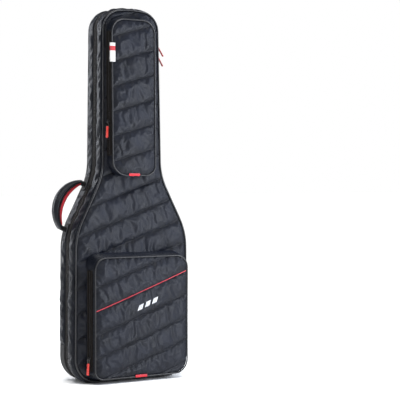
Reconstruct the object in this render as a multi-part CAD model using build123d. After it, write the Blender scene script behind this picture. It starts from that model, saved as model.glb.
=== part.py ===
from build123d import *
import math
import os

# Padded gig bag for an electric bass, standing on its end and zipped shut.
# Millimetres. The origin is on the floor under the middle of the bag, +Z is up
# and -Y is the front, where the lid and its pockets are. The carrying handle is
# on the -X side and the cloth hinge of the lid is on the +X side.

# Outline of the padded panels, seen from the front: right-hand corners (x, z, radius)
PANEL_BOTTOM = 8
BOUT_CORNER = (204, PANEL_BOTTOM, 75)
SHOULDER_CORNER = (200.5, 491, 216)
NECK_CORNER = (104, 684, 210)
HEAD_CORNER = (97, 1224, 60)
HEAD_CROWN = (0, 1234, 360)

# Depth of the bag
LID_FACE_Y = -63
BACK_FACE_Y = 63
TAPER_START_Z = 560
HEAD_END_Z = 1240
HEAD_TAPER = 9
PADDING = 16
LINING = 1.5

# Side walls
WALL_OUT = 8
WALL_IN = 8
PIPING = 5.5
PIPING_PROUD = 1.5
WALL_LAP = 7
ZIP_BAND = 15
ZIP_GAP = 0.6
ZIP_TAPE = 3

# Cloth hinge of the lid on the right lower bout
HINGE_LOW_Z = 95
HINGE_HIGH_Z = 440
HINGE_SIDE_X = 150

# Head pocket: face corners, stand-off from the lid, gusset slopes
HEAD_POCKET = {"left": -84, "right": 73, "low": 685, "high": 1200, "proud": 30}
HEAD_RADII = [50, 33, 45, 45]
HEAD_SLOPES = {"left": 8, "right": 3, "low": 2, "high": 6}
HEAD_ZIP = (750, 1160)

# Accessory pocket on the body
ACC_POCKET = {"left": -156, "right": 185, "low": 18, "high": 415, "proud": 45}
ACC_RADII = [28, 46, 40, 40]
ACC_SLOPES = {"left": 16, "right": 3, "low": 1, "high": 16}
ACC_ZIP = (45, 375)

POCKET_WALL = 3
POCKET_PAD = 7
POCKET_PIPING = 5
TAPE_WIDTH = 25
TAPE_THICK = 1.5
ACCENT_LOW_Z = 241
ACCENT_HIGH_Z = 363
ACCENT_CORD = 3.5
ACCENT_PROUD = 2
RED_TAB_THICK = 1.5
RED_TAB_HEIGHT = 10
HEAD_RED_TAB = (-7, 40)
ACC_RED_TAB = (9, 43)
FLAG_LABEL = (10, 1058, 1120)
FLAG_LABEL_THICK = 1.5
MARK_START = (-9, 237)
MARK_STEP = (27, 10)
MARK_BAR = [(0, 0), (18, 7), (24, 25), (6, 18)]
MARK_PROUD = 1

# Zip sliders and pulls, shared by all four
SLIDER = (4.5, 11, 14)
BRIDGE_WIDTH = 3
BRIDGE_BAR = 1.6
BRIDGE_HOLE = 3
BRIDGE_SPAN = 10
PULL_WIRE = 1.8
RING_WIDTH = 9
RING_LENGTH = 20
TAB = (3, 11, 38)
SLIDER_CLEAR = 0.5
MAIN_UPPER_LEANS = (72, 33)
MAIN_LOWER_LEANS = (66, 30)
POCKET_LEANS = (4, 4)
MAIN_ZIP_UPPER_Z = 1128
MAIN_ZIP_LOWER_Z = 1097
HEAD_SLIDER_Z = 862
ACC_SLIDER_Z = 86

# Carrying handle, in its own frame on the shoulder wall: s runs down the wall, n out of it
HANDLE_START_S = 46
HANDLE_Y = 35
HANDLE_WIDTH = 38
HANDLE_FOOT = 20
HANDLE_OUTER = ((-16, 76, 167), 79)
HANDLE_SEAM = ((-8, 75, 158), 58)
HANDLE_INNER = ((8, 76, 143), 43)
HANDLE_WEB = (16, 26)
HANDLE_WEB_ROOT = 3.5
LINING_INSET = 2
PATCH_WIDTH = 34
PATCH_THICK = 2
PATCH_SPANS = [(-44, 14), (134, 192)]
RIVET_RADIUS = 3
RIVET_HEIGHT = 2.4
RIVET_SPREAD = 10
RIVETS = [(-36, 7.5), (184, -4.6)]

# Back: webbing band, shoulder straps, buckles, hang loop
BAND_LOW_Z = 690
BAND_HIGH_Z = 733
BAND_THICK = 2.5
YOKE_LOW_Z = 700
YOKE_ARCH = 12
STRAP_WIDTH = 64
STRAP_FRONT_Y = 67
STRAP_BACK_Y = 78
STRAP_LINE = [(52, YOKE_LOW_Z - 1), (53, 480), (83, 345), (113, 258)]
STRAP_BENDS = [260, 260]
WEBBING = 33
WEBBING_THICK = 2
LAYER_GAP = 0.5
BUCKLE = (42, 5, 50)
BUCKLE_RADIUS = 6
BUCKLE_BAR = 4
BUCKLE_BAR_FIT = 0.4
BUCKLE_DROP = 20
BUCKLE_SLOTS = [(0, 9), (15.5, 5), (25.5, 5)]
SLOT_CLEAR = 2
WEB_ANCHOR = (36, 30)
WEB_ANCHOR_SHIFT = 6
WEB_LEFT = [(134, 186), (131, 110), (118, 8)]
WEB_RIGHT = [(-134, 186), (-146, 120), (-166, 38)]
WEB_BENDS = [150]
LOOP_WIDTH = 76
LOOP_LEG = 34
LOOP_LOW_Z = BAND_HIGH_Z + 0.6
LOOP_HOLE_Z = 784
LOOP_SHOULDER_Z = 800
LOOP_TOP_Z = 825

# Inside
CRADLE_LOW_Z = 800
CRADLE_HIGH_Z = 880
CRADLE_HALF = 80
CRADLE_GAP = 38
CRADLE_BASE = 17
CRADLE_FRONT_Y = -5
NECK_STRAP_THICK = 3
NECK_STRAP_SET_IN = 22
BUMPER_HALF = 70
BUMPER_HEIGHT = 28

# Moulded guards on the lower corners
GUARD_THICK = 2.5
GUARD_INNER_X = 112
GUARD_TOP_Z = 122
GUARD_TAPE_GAP = 2
GUARD_PIPING_GAP = 1

# Reach of the cutting shapes past the bag
FAR = 320
MARGIN = 50


# ---- helpers ----

def closed_outline(corners):
    """Face with rounded corners from (x, z, radius) triples."""
    points = [(x, z) for x, z, _ in corners]
    radii = [radius for _, _, radius in corners]
    return make_face(FilletPolyline(*points, radius=radii, close=True))


def grown(corners, grow):
    """Corners of the same outline with its edge moved outwards by grow."""
    moved = []
    for index, (x, z, radius) in enumerate(corners):
        x0, z0, _ = corners[index - 1]
        x1, z1, _ = corners[(index + 1) % len(corners)]
        before = Vector(x - x0, z - z0).normalized()
        after = Vector(x1 - x, z1 - z).normalized()
        out = Vector(before.Y + after.Y, -before.X - after.X) * (grow / (1 + before.dot(after)))
        bulge = 1 if before.cross(after).Z > 0 else -1
        moved.append((x + out.X, z + out.Y, radius + bulge * grow))
    return moved


def bag_outline(grow=0):
    """The bag seen from the front, its edge moved outwards by grow."""
    right = [BOUT_CORNER, SHOULDER_CORNER, NECK_CORNER, HEAD_CORNER]
    left = [(-x, z, radius) for x, z, radius in reversed(right)]
    return closed_outline(grown(right + [HEAD_CROWN] + left, grow))


def slab(face, low_y, high_y):
    """Solid of a front-view face between two depths."""
    return Pos(0, high_y, 0) * extrude(Plane.XZ * face, high_y - low_y)


def ring(outer, inner, low_y, high_y):
    """Band that follows the bag's outline between two offsets and two depths."""
    return slab(bag_outline(outer) - bag_outline(inner), low_y, high_y)


def lid_layer(near, far_y=None, far=0):
    """Space behind the lid's face, from near mm behind it to far mm behind it, or to a flat depth."""
    heights = [-MARGIN, TAPER_START_Z, HEAD_END_Z + MARGIN]
    slope = HEAD_TAPER / (HEAD_END_Z - TAPER_START_Z)
    faces = [LID_FACE_Y + max(0, z - TAPER_START_Z) * slope for z in heights]
    front = [(y + near, z) for y, z in zip(faces, heights)]
    back = [(y + far if far_y is None else far_y, z) for y, z in zip(faces, heights)]
    section = make_face(Polyline(*front, *reversed(back), close=True))
    return extrude(Plane.YZ * section, FAR, both=True)


def block(low, high):
    """Box between two opposite corners."""
    size = [b - a for a, b in zip(low, high)]
    centre = [(a + b) / 2 for a, b in zip(low, high)]
    return Pos(*centre) * Box(*size)


def group(shapes):
    """Several separate solids as one shape."""
    return Compound([solid for shape in shapes for solid in shape.solids()])


def head_place():
    """Tilt of the tapered head end of the lid."""
    angle = -math.degrees(math.atan(HEAD_TAPER / (HEAD_END_Z - TAPER_START_Z)))
    pivot = Pos(0, LID_FACE_Y, TAPER_START_Z)
    return pivot * Rot(X=angle) * pivot.inverse()


def export(shape, node):
    """Write one sub-part."""
    export_step(shape, f"parts/{node}.step")


# ---- back half of the shell ----

def back_panel():
    """Padded back panel."""
    return slab(bag_outline(), BACK_FACE_Y - PADDING, BACK_FACE_Y)


def rear_gusset():
    """Padded side wall of the back half, all the way round."""
    wall = ring(WALL_OUT, -WALL_IN, ZIP_BAND, BACK_FACE_Y - PADDING)
    lap = ring(WALL_OUT, 0, BACK_FACE_Y - PADDING, BACK_FACE_Y - WALL_LAP)
    return wall + lap


def back_piping():
    """Corded edge between the back panel and its side wall."""
    return ring(PIPING, 0, BACK_FACE_Y - WALL_LAP, BACK_FACE_Y + PIPING_PROUD)


def hinge_zone(low_y, high_y):
    """Space of the cloth hinge on the right lower bout."""
    return block((HINGE_SIDE_X, low_y, HINGE_LOW_Z), (FAR, high_y, HINGE_HIGH_Z))


def rear_zip_tape():
    """Back half of the main zip, with the cloth hinge's stretch left out."""
    tape = ring(WALL_OUT, WALL_OUT - ZIP_TAPE, 0, ZIP_BAND)
    return tape - hinge_zone(-ZIP_BAND, ZIP_BAND)


def hinge_cloth():
    """Strip of bag cloth that joins lid and back where the zip stops."""
    low_y = -ZIP_BAND + SLIDER_CLEAR
    strip = ring(WALL_OUT, WALL_OUT - ZIP_TAPE, low_y, ZIP_BAND)
    return strip & hinge_zone(low_y, ZIP_BAND)


def back_lining():
    """Plush lining of the back panel and its side wall."""
    floor = slab(bag_outline(-WALL_IN), BACK_FACE_Y - PADDING - LINING, BACK_FACE_Y - PADDING)
    wall = ring(-WALL_IN, -WALL_IN - LINING, ZIP_BAND, BACK_FACE_Y - PADDING - LINING)
    return floor + wall


def neck_cradle():
    """Foam block that holds the instrument's neck."""
    inner_y = BACK_FACE_Y - PADDING - LINING
    base_y = inner_y - CRADLE_BASE
    base = block((-CRADLE_HALF, base_y, CRADLE_LOW_Z), (CRADLE_HALF, inner_y, CRADLE_HIGH_Z))
    cheek = block((CRADLE_GAP, CRADLE_FRONT_Y, CRADLE_LOW_Z), (CRADLE_HALF, base_y, CRADLE_HIGH_Z))
    return base + cheek + mirror(cheek, Plane.YZ)


def neck_strap():
    """Hook-and-loop strap across the cradle."""
    half = CRADLE_HALF - 4
    low = (-half, CRADLE_FRONT_Y - NECK_STRAP_THICK, CRADLE_LOW_Z + NECK_STRAP_SET_IN)
    return block(low, (half, CRADLE_FRONT_Y, CRADLE_HIGH_Z - NECK_STRAP_SET_IN))


def bottom_bumper():
    """Foam bumper under the instrument's end pin."""
    floor_z = PANEL_BOTTOM + WALL_IN + LINING
    low = (-BUMPER_HALF, -ZIP_BAND, floor_z)
    high = (BUMPER_HALF, BACK_FACE_Y - PADDING - LINING, floor_z + BUMPER_HEIGHT)
    return block(low, high)


def corner_guard(side):
    """Moulded guard round one lower corner of the back half."""
    low_y = ZIP_BAND + GUARD_TAPE_GAP
    high_y = BACK_FACE_Y - WALL_LAP - GUARD_PIPING_GAP
    skin = ring(WALL_OUT + GUARD_THICK, WALL_OUT, low_y, high_y)
    zone = block((GUARD_INNER_X, 0, 0), (FAR, BACK_FACE_Y, GUARD_TOP_Z))
    return skin & (zone if side > 0 else mirror(zone, Plane.YZ))


# ---- lid ----

def front_panel():
    """Padded front panel of the lid."""
    return slab(bag_outline(), LID_FACE_Y - 1, 0) & lid_layer(0, far=PADDING)


def lid_gusset():
    """Padded side wall of the lid, all the way round."""
    wall = ring(WALL_OUT, -WALL_IN, LID_FACE_Y, 0) & lid_layer(PADDING, far_y=-ZIP_BAND)
    lap = ring(WALL_OUT, 0, LID_FACE_Y, 0) & lid_layer(WALL_LAP, far=PADDING)
    return wall + lap


def front_piping():
    """Corded edge between the front panel and its side wall."""
    return ring(PIPING, 0, LID_FACE_Y - 10, 0) & lid_layer(-PIPING_PROUD, far=WALL_LAP)


def lid_zip_tape():
    """Lid half of the main zip, with the cloth hinge's stretch left out."""
    tape = ring(WALL_OUT, WALL_OUT - ZIP_TAPE, -ZIP_BAND, -ZIP_GAP)
    return tape - hinge_zone(-MARGIN, ZIP_BAND)


def front_lining():
    """Plush lining of the lid."""
    floor = slab(bag_outline(-WALL_IN), LID_FACE_Y, 0) & lid_layer(PADDING, far=PADDING + LINING)
    band = ring(-WALL_IN, -WALL_IN - LINING, LID_FACE_Y, 0)
    return floor + (band & lid_layer(PADDING + LINING, far_y=-ZIP_BAND))


# ---- pockets on the lid ----

def pocket_outline(size, radii, slopes=None, grow=0):
    """Rounded face of a pocket, or its wider foot when slopes are given."""
    extra = slopes or {"left": 0, "right": 0, "low": 0, "high": 0}
    left = size["left"] - extra["left"] - grow
    right = size["right"] + extra["right"] + grow
    low = size["low"] - extra["low"] - grow
    high = size["high"] + extra["high"] + grow
    corners = [(left, low), (right, low), (right, high), (left, high)]
    return closed_outline([(x, z, r + grow) for (x, z), r in zip(corners, radii)])


def pocket_solid(size, radii, slopes, foot_y, face_y, grow):
    """Tapered block between the pocket's foot on the lid and its face."""
    foot = Plane.XZ.offset(-foot_y) * pocket_outline(size, radii, slopes, grow)
    rim = Plane.XZ.offset(-face_y) * pocket_outline(size, radii, None, grow)
    return loft([foot.face(), rim.face()], ruled=True)


def pocket_gusset(size, radii, slopes):
    """Sloping wall of a pocket."""
    rim_y = LID_FACE_Y - size["proud"] + POCKET_PAD
    outer = pocket_solid(size, radii, slopes, LID_FACE_Y, rim_y, 0)
    inner = pocket_solid(size, radii, slopes, LID_FACE_Y, rim_y, -POCKET_WALL)
    return outer - inner


def pocket_face(size, radii):
    """Quilted face of a pocket."""
    face = pocket_outline(size, radii, None, -POCKET_PIPING / 2)
    outer_y = LID_FACE_Y - size["proud"]
    return slab(face, outer_y, outer_y + POCKET_PAD)


def pocket_piping(size, radii):
    """Corded edge of a pocket's face."""
    half = POCKET_PIPING / 2
    band = pocket_outline(size, radii, None, half) - pocket_outline(size, radii, None, -half)
    outer_y = LID_FACE_Y - size["proud"]
    return slab(band, outer_y - PIPING_PROUD, outer_y + POCKET_PAD)


def gusset_frame(size, slopes):
    """Centre and outward angle of a pocket's sloping left wall, and its height up the slope."""
    rise = size["proud"] - POCKET_PAD
    angle = 180 + math.degrees(math.atan2(slopes["left"], rise))
    centre = (size["left"] - slopes["left"] / 2, LID_FACE_Y - rise / 2)
    return centre, angle, math.hypot(rise, slopes["left"])


def on_gusset(size, slopes, lift, z):
    """Placement whose +X leaves the pocket's left wall, lift mm above it at height z."""
    (x, y), angle, _ = gusset_frame(size, slopes)
    lean = math.radians(angle)
    spot = (x + lift * math.cos(lean), y + lift * math.sin(lean), z)
    return Pos(*spot) * Rot(Z=angle)


def pocket_zip(size, slopes, span):
    """Zip tape on the pocket's left wall."""
    low, high = span
    width = min(TAPE_WIDTH, gusset_frame(size, slopes)[2] - 2)
    strip = Box(TAPE_THICK, width, high - low)
    return on_gusset(size, slopes, TAPE_THICK / 2, (low + high) / 2) * strip


def red_tab(place, size):
    """Folded fabric tab, at a centre x and a width, sewn into the lower piping of a pocket."""
    centre_x, width = place
    front_y = LID_FACE_Y - size["proud"] - PIPING_PROUD
    edge_z = size["low"] - POCKET_PIPING / 2
    low = (centre_x - width / 2, front_y - RED_TAB_THICK, edge_z)
    return block(low, (centre_x + width / 2, front_y, edge_z + RED_TAB_HEIGHT))


def flag_label():
    """Small folded label sewn over the head pocket's left piping."""
    front_y = LID_FACE_Y - HEAD_POCKET["proud"] - PIPING_PROUD
    left = HEAD_POCKET["left"]
    half, low_z, high_z = FLAG_LABEL
    return block((left - half, front_y - FLAG_LABEL_THICK, low_z), (left + half, front_y, high_z))


def accent_piping():
    """Thin cord across the accessory pocket, rising to the right."""
    left = ACC_POCKET["left"] + POCKET_PIPING / 2
    right = ACC_POCKET["right"] - POCKET_PIPING / 2
    half = ACCENT_CORD / 2
    corners = [(left, ACCENT_LOW_Z - half), (right, ACCENT_HIGH_Z - half)]
    corners += [(x, z + ACCENT_CORD) for x, z in reversed(corners)]
    outer_y = LID_FACE_Y - ACC_POCKET["proud"]
    return slab(make_face(Polyline(*corners, close=True)), outer_y - ACCENT_PROUD, outer_y)


def embroidered_mark():
    """Plain stitched mark of three rising bars."""
    outer_y = LID_FACE_Y - ACC_POCKET["proud"]
    bars = []
    for index in range(3):
        x = MARK_START[0] + index * MARK_STEP[0]
        z = MARK_START[1] + index * MARK_STEP[1]
        corners = [(x + dx, z + dz) for dx, dz in MARK_BAR]
        bar = make_face(Polyline(*corners, close=True))
        bars.append(slab(bar, outer_y - MARK_PROUD, outer_y))
    return group(bars)


# ---- zip sliders and pulls; +X leaves the zip, +Z runs up it ----

def slider():
    """Slider body with its bridge."""
    depth, width, length = SLIDER
    base = SLIDER_CLEAR
    top = base + depth
    body = block((base, -width / 2, -length / 2), (top, width / 2, length / 2))
    half = BRIDGE_SPAN / 2
    arch_low = (top, -BRIDGE_WIDTH / 2, -half)
    arch_high = (top + BRIDGE_HOLE + BRIDGE_BAR, BRIDGE_WIDTH / 2, half)
    hole = block((top, -width, -half + BRIDGE_BAR), (top + BRIDGE_HOLE, width, half - BRIDGE_BAR))
    return body + (block(arch_low, arch_high) - hole)


def pull_bar():
    """Distance of the pull's bar from the zip."""
    return SLIDER_CLEAR + SLIDER[0] + BRIDGE_HOLE / 2


def pull_ring(lean):
    """Wire loop that hangs from the slider's bridge, leaning out by lean degrees."""
    bar = PULL_WIRE / 2
    outer = Pos(0, -RING_LENGTH / 2 + bar) * RectangleRounded(RING_WIDTH, RING_LENGTH, 2.5)
    inner_size = (RING_WIDTH - 2 * PULL_WIRE, RING_LENGTH - 2 * PULL_WIRE)
    inner = Pos(0, -RING_LENGTH / 2 + bar) * RectangleRounded(*inner_size, 1)
    loop = extrude(Plane.YZ * (outer - inner), PULL_WIRE / 2, both=True)
    return Pos(pull_bar(), 0, 0) * Rot(Y=-lean) * loop


def pull_tab(ring_lean, tab_lean):
    """Moulded tab on the far end of the loop."""
    reach = RING_LENGTH - PULL_WIRE
    lean = math.radians(ring_lean)
    foot = (pull_bar() + reach * math.sin(lean), 0, -reach * math.cos(lean))
    thick, width, length = TAB
    shape = Pos(0, -length / 2 + 3) * RectangleRounded(width, length, 4)
    tab = extrude(Plane.YZ * shape, thick / 2, both=True)
    return Pos(*foot) * Rot(Y=-tab_lean) * tab - pull_ring(ring_lean)


def zip_set(name, place, leans):
    """Slider, loop and tab of one zip, as named nodes."""
    ring_lean, tab_lean = leans
    export(place * slider(), f"{name}_slider")
    export(place * pull_ring(ring_lean), f"{name}_pull_ring")
    export(place * pull_tab(ring_lean, tab_lean), f"{name}_pull_tab")


def neck_side_x(z):
    """Half-width of the straight neck stretch of the panels at a height."""
    share = (z - NECK_CORNER[1]) / (HEAD_CORNER[1] - NECK_CORNER[1])
    return NECK_CORNER[0] + share * (HEAD_CORNER[0] - NECK_CORNER[0])


def main_zip_place(z):
    """Placement on the right-hand neck side, on the main zip."""
    return Pos(neck_side_x(z) + WALL_OUT, 0, z)


# ---- carrying handle ----

def wall_direction():
    """Unit vector down the shoulder wall, as (x, z) on the right-hand side."""
    run = SHOULDER_CORNER[0] - NECK_CORNER[0]
    drop = SHOULDER_CORNER[1] - NECK_CORNER[1]
    length = math.hypot(run, drop)
    return run / length, drop / length


def wall_point(s, n):
    """Point s down the wall from the handle's upper end and n out of it, on the handle side."""
    run, drop = wall_direction()
    along = HANDLE_START_S + s
    out = WALL_OUT + n
    x = NECK_CORNER[0] + along * run - out * drop
    z = NECK_CORNER[1] + along * drop + out * run
    return -x, z


def handle_segment(curve):
    """Face between the foot line and an arc given as three s values and its peak n."""
    (start, middle, end), peak = curve
    first = wall_point(start, HANDLE_FOOT)
    last = wall_point(end, HANDLE_FOOT)
    arc = ThreePointArc(first, wall_point(middle, peak), last)
    return make_face([arc, Line(last, first)])


def handle_pad():
    """Padded outer half of the grip."""
    face = handle_segment(HANDLE_OUTER) - handle_segment(HANDLE_SEAM)
    return slab(face, HANDLE_Y - HANDLE_WIDTH / 2, HANDLE_Y + HANDLE_WIDTH / 2)


def handle_lining():
    """Red padded inner half of the grip."""
    face = handle_segment(HANDLE_SEAM) - handle_segment(HANDLE_INNER)
    half = HANDLE_WIDTH / 2 - LINING_INSET
    return slab(face, HANDLE_Y - half, HANDLE_Y + half)


def handle_webbing():
    """Webbing ends that tie the grip to the wall."""
    length, width = HANDLE_WEB
    ends = []
    for start in (HANDLE_OUTER[0][0] + 1, HANDLE_OUTER[0][2] - 1 - length):
        end = start + length
        sides = [(start, HANDLE_WEB_ROOT), (end, HANDLE_WEB_ROOT), (end, HANDLE_FOOT), (start, HANDLE_FOOT)]
        corners = [wall_point(s, n) for s, n in sides]
        face = make_face(Polyline(*corners, close=True))
        ends.append(slab(face, HANDLE_Y - width / 2, HANDLE_Y + width / 2))
    return group(ends)


def handle_patches():
    """Reinforcing patches on the wall under the handle's ends."""
    low_y = HANDLE_Y - PATCH_WIDTH / 2
    high_y = HANDLE_Y + PATCH_WIDTH / 2
    skin = ring(WALL_OUT + PATCH_THICK, WALL_OUT, low_y, high_y)
    zones = []
    for start, end in PATCH_SPANS:
        sides = [(start, -MARGIN), (end, -MARGIN), (end, HANDLE_FOOT), (start, HANDLE_FOOT)]
        corners = [wall_point(s, n) for s, n in sides]
        zones.append(slab(make_face(Polyline(*corners, close=True)), low_y, high_y))
    return group([skin & zone for zone in zones])


def handle_rivets():
    """Two rivets through each patch, one beyond each end of the handle."""
    lean = math.degrees(math.atan2(wall_direction()[0], -wall_direction()[1]))
    rivets = []
    for s, n in RIVETS:
        for side in (-1, 1):
            x, z = wall_point(s, n)
            place = Pos(x, HANDLE_Y + side * RIVET_SPREAD, z) * Rot(Y=-90 + lean)
            rivets.append(place * Cylinder(RIVET_RADIUS, RIVET_HEIGHT))
    return group(rivets)


# ---- back straps ----

def anchor_band():
    """Webbing sewn across the back panel to carry the straps and the hang loop."""
    half = neck_side_x(BAND_HIGH_Z)
    low = (-half, BACK_FACE_Y, BAND_LOW_Z)
    return block(low, (half, BACK_FACE_Y + BAND_THICK, BAND_HIGH_Z))


def strap_yoke():
    """Padded bridge that joins the tops of both shoulder straps."""
    outer = STRAP_LINE[0][0] + STRAP_WIDTH / 2
    inner = STRAP_LINE[0][0] - STRAP_WIDTH / 2
    arch_z = YOKE_LOW_Z + YOKE_ARCH
    corners = [(-outer, YOKE_LOW_Z), (-inner, YOKE_LOW_Z), (-inner, arch_z), (inner, arch_z)]
    corners += [(inner, YOKE_LOW_Z), (outer, YOKE_LOW_Z), (outer, BAND_HIGH_Z), (-outer, BAND_HIGH_Z)]
    radii = [0, 0, 11, 11, 0, 0, 12, 12]
    face = closed_outline([(x, z, radius) for (x, z), radius in zip(corners, radii)])
    return slab(face, BACK_FACE_Y + BAND_THICK, STRAP_BACK_Y)


def yoke_label():
    """Small woven label under the yoke's arch."""
    low = (-10, BACK_FACE_Y + BAND_THICK, YOKE_LOW_Z - 8)
    return block(low, (10, BACK_FACE_Y + BAND_THICK + 1, YOKE_LOW_Z + YOKE_ARCH - 2))


def sided(points, side):
    """Front-view points, mirrored to the chosen side."""
    return [(side * x, z) for x, z in points]


def ribbon(points, radii, width, low_y, high_y):
    """Flat strap of even width along a front-view line with rounded bends."""
    line = FilletPolyline(*points, radius=radii) if radii else Line(*points)
    return slab(trace(line, width), low_y, high_y)


def strap_pad(side):
    """Padded shoulder strap."""
    points = sided(STRAP_LINE, side)
    return ribbon(points, STRAP_BENDS, STRAP_WIDTH, STRAP_FRONT_Y, STRAP_BACK_Y)


def strap_lean():
    """Angle of the strap's lower stretch from the vertical, in degrees."""
    (x0, z0), (x1, z1) = STRAP_LINE[-2:]
    return math.degrees(math.atan2(x1 - x0, z0 - z1))


def buckle_pivot(side):
    """Centre of the buckle's upper bar."""
    lean = math.radians(strap_lean())
    x, z = STRAP_LINE[-1]
    middle_y = (STRAP_FRONT_Y + STRAP_BACK_Y) / 2
    return side * (x + BUCKLE_DROP * math.sin(lean)), middle_y, z - BUCKLE_DROP * math.cos(lean)


def buckle_place(side):
    """Frame of a buckle: its +Z runs back up the strap."""
    return Pos(*buckle_pivot(side)) * Rot(Y=-side * strap_lean())


def strap_end(side):
    """Webbing tongue on the strap's end, looped round the buckle's upper bar."""
    inner = BUCKLE_BAR / 2 + BUCKLE_BAR_FIT
    outer = inner + WEBBING_THICK
    half = WEBBING / 2
    loop = extrude(Plane.YZ * (Circle(outer) - Circle(inner)), half, both=True)
    tongue = block((-half, -WEBBING_THICK / 2, outer - 0.2), (half, WEBBING_THICK / 2, BUCKLE_DROP))
    return buckle_place(side) * (loop + tongue)


def buckle(side):
    """Ladder-lock buckle with a rounded tongue."""
    width, thick, length = BUCKLE
    bar = BUCKLE_BAR / 2
    plate = Pos(0, bar - length / 2) * RectangleRounded(width, length, BUCKLE_RADIUS)
    slot = WEBBING + SLOT_CLEAR
    for drop, height in BUCKLE_SLOTS:
        plate -= Pos(0, -bar - drop - height / 2) * Rectangle(slot, height)
    frame = extrude(Plane.XZ * plate, thick / 2, both=True)
    relief = block((-slot / 2, -thick, -bar), (slot / 2, thick, bar + 1))
    top_bar = extrude(Plane.YZ * Circle(bar), slot / 2, both=True)
    return buckle_place(side) * ((frame - relief) + top_bar)


def lower_webbing(side):
    """Adjusting web from the buckle down to the bag's lower edge."""
    points = WEB_LEFT if side > 0 else WEB_RIGHT
    low_y = BACK_FACE_Y + BAND_THICK + LAYER_GAP
    return ribbon(points, WEB_BENDS, WEBBING, low_y, low_y + WEBBING_THICK)


def webbing_anchors():
    """Sewn patches that hold the lower ends of both webs."""
    width, height = WEB_ANCHOR
    patch = Box(width, BAND_THICK, height)
    middle_y = BACK_FACE_Y + BAND_THICK / 2
    left_x, left_z = WEB_LEFT[-1]
    right_x, right_z = WEB_RIGHT[-1]
    left = Pos(left_x - WEB_ANCHOR_SHIFT, middle_y, left_z + 1 + height / 2) * patch
    right = Pos(right_x + WEB_ANCHOR_SHIFT, middle_y, right_z + height / 2) * patch
    return group([left, right])


def hang_loop():
    """Folded webbing loop above the yoke."""
    half = LOOP_WIDTH / 2
    hole = half - LOOP_LEG
    outer = [(-half, LOOP_LOW_Z), (half, LOOP_LOW_Z), (half, LOOP_SHOULDER_Z), (0, LOOP_TOP_Z)]
    outer.append((-half, LOOP_SHOULDER_Z))
    inner = [(-hole, LOOP_LOW_Z), (hole, LOOP_LOW_Z), (hole, LOOP_HOLE_Z), (-hole, LOOP_HOLE_Z)]
    face = make_face(Polyline(*outer, close=True)) - make_face(Polyline(*inner, close=True))
    low_y = BACK_FACE_Y + BAND_THICK + LAYER_GAP
    return slab(face, low_y, low_y + WEBBING_THICK)


# ---- build ----

def build():
    """Write every sub-part."""
    os.makedirs("parts", exist_ok=True)
    plain = [
        back_panel, rear_gusset, back_piping, rear_zip_tape, hinge_cloth, back_lining,
        neck_cradle, neck_strap, bottom_bumper, front_panel, lid_gusset, front_piping,
        lid_zip_tape, front_lining, accent_piping, embroidered_mark, handle_pad,
        handle_lining, handle_webbing, handle_patches, handle_rivets, anchor_band,
        strap_yoke, yoke_label, webbing_anchors, hang_loop,
    ]
    for make in plain:
        export(make(), make.__name__)

    tilt = head_place()
    export(tilt * pocket_gusset(HEAD_POCKET, HEAD_RADII, HEAD_SLOPES), "head_pocket_gusset")
    export(tilt * pocket_face(HEAD_POCKET, HEAD_RADII), "head_pocket_face")
    export(tilt * pocket_piping(HEAD_POCKET, HEAD_RADII), "head_pocket_piping")
    export(tilt * pocket_zip(HEAD_POCKET, HEAD_SLOPES, HEAD_ZIP), "head_pocket_zip")
    export(tilt * red_tab(HEAD_RED_TAB, HEAD_POCKET), "head_pocket_tab")
    export(tilt * flag_label(), "head_flag_label")

    export(pocket_gusset(ACC_POCKET, ACC_RADII, ACC_SLOPES), "accessory_pocket_gusset")
    export(pocket_face(ACC_POCKET, ACC_RADII), "accessory_pocket_face")
    export(pocket_piping(ACC_POCKET, ACC_RADII), "accessory_pocket_piping")
    export(pocket_zip(ACC_POCKET, ACC_SLOPES, ACC_ZIP), "accessory_pocket_zip")
    export(red_tab(ACC_RED_TAB, ACC_POCKET), "accessory_pocket_tab")

    zip_set("main_zip_upper", main_zip_place(MAIN_ZIP_UPPER_Z), MAIN_UPPER_LEANS)
    zip_set("main_zip_lower", main_zip_place(MAIN_ZIP_LOWER_Z), MAIN_LOWER_LEANS)
    head_spot = on_gusset(HEAD_POCKET, HEAD_SLOPES, TAPE_THICK, HEAD_SLIDER_Z)
    zip_set("head_zip", tilt * head_spot, POCKET_LEANS)
    acc_spot = on_gusset(ACC_POCKET, ACC_SLOPES, TAPE_THICK, ACC_SLIDER_Z)
    zip_set("accessory_zip", acc_spot, POCKET_LEANS)

    for side, name in ((1, "left"), (-1, "right")):
        export(corner_guard(side), f"corner_guard_{name}")
        export(strap_pad(side), f"strap_pad_{name}")
        export(strap_end(side), f"strap_end_{name}")
        export(buckle(side), f"buckle_{name}")
        export(lower_webbing(side), f"lower_webbing_{name}")


build()
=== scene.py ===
"""Padded gig bag for an electric bass, standing on its end and zipped shut: the finished surfaces."""
import sys
import logging
import math
import random
from dataclasses import dataclass, field
from enum import Enum
from typing import Callable, Iterable, Sequence

import bmesh
import bpy
from mathutils import Matrix, Vector, noise
from mathutils.bvhtree import BVHTree
from mathutils.geometry import delaunay_2d_cdt


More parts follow.
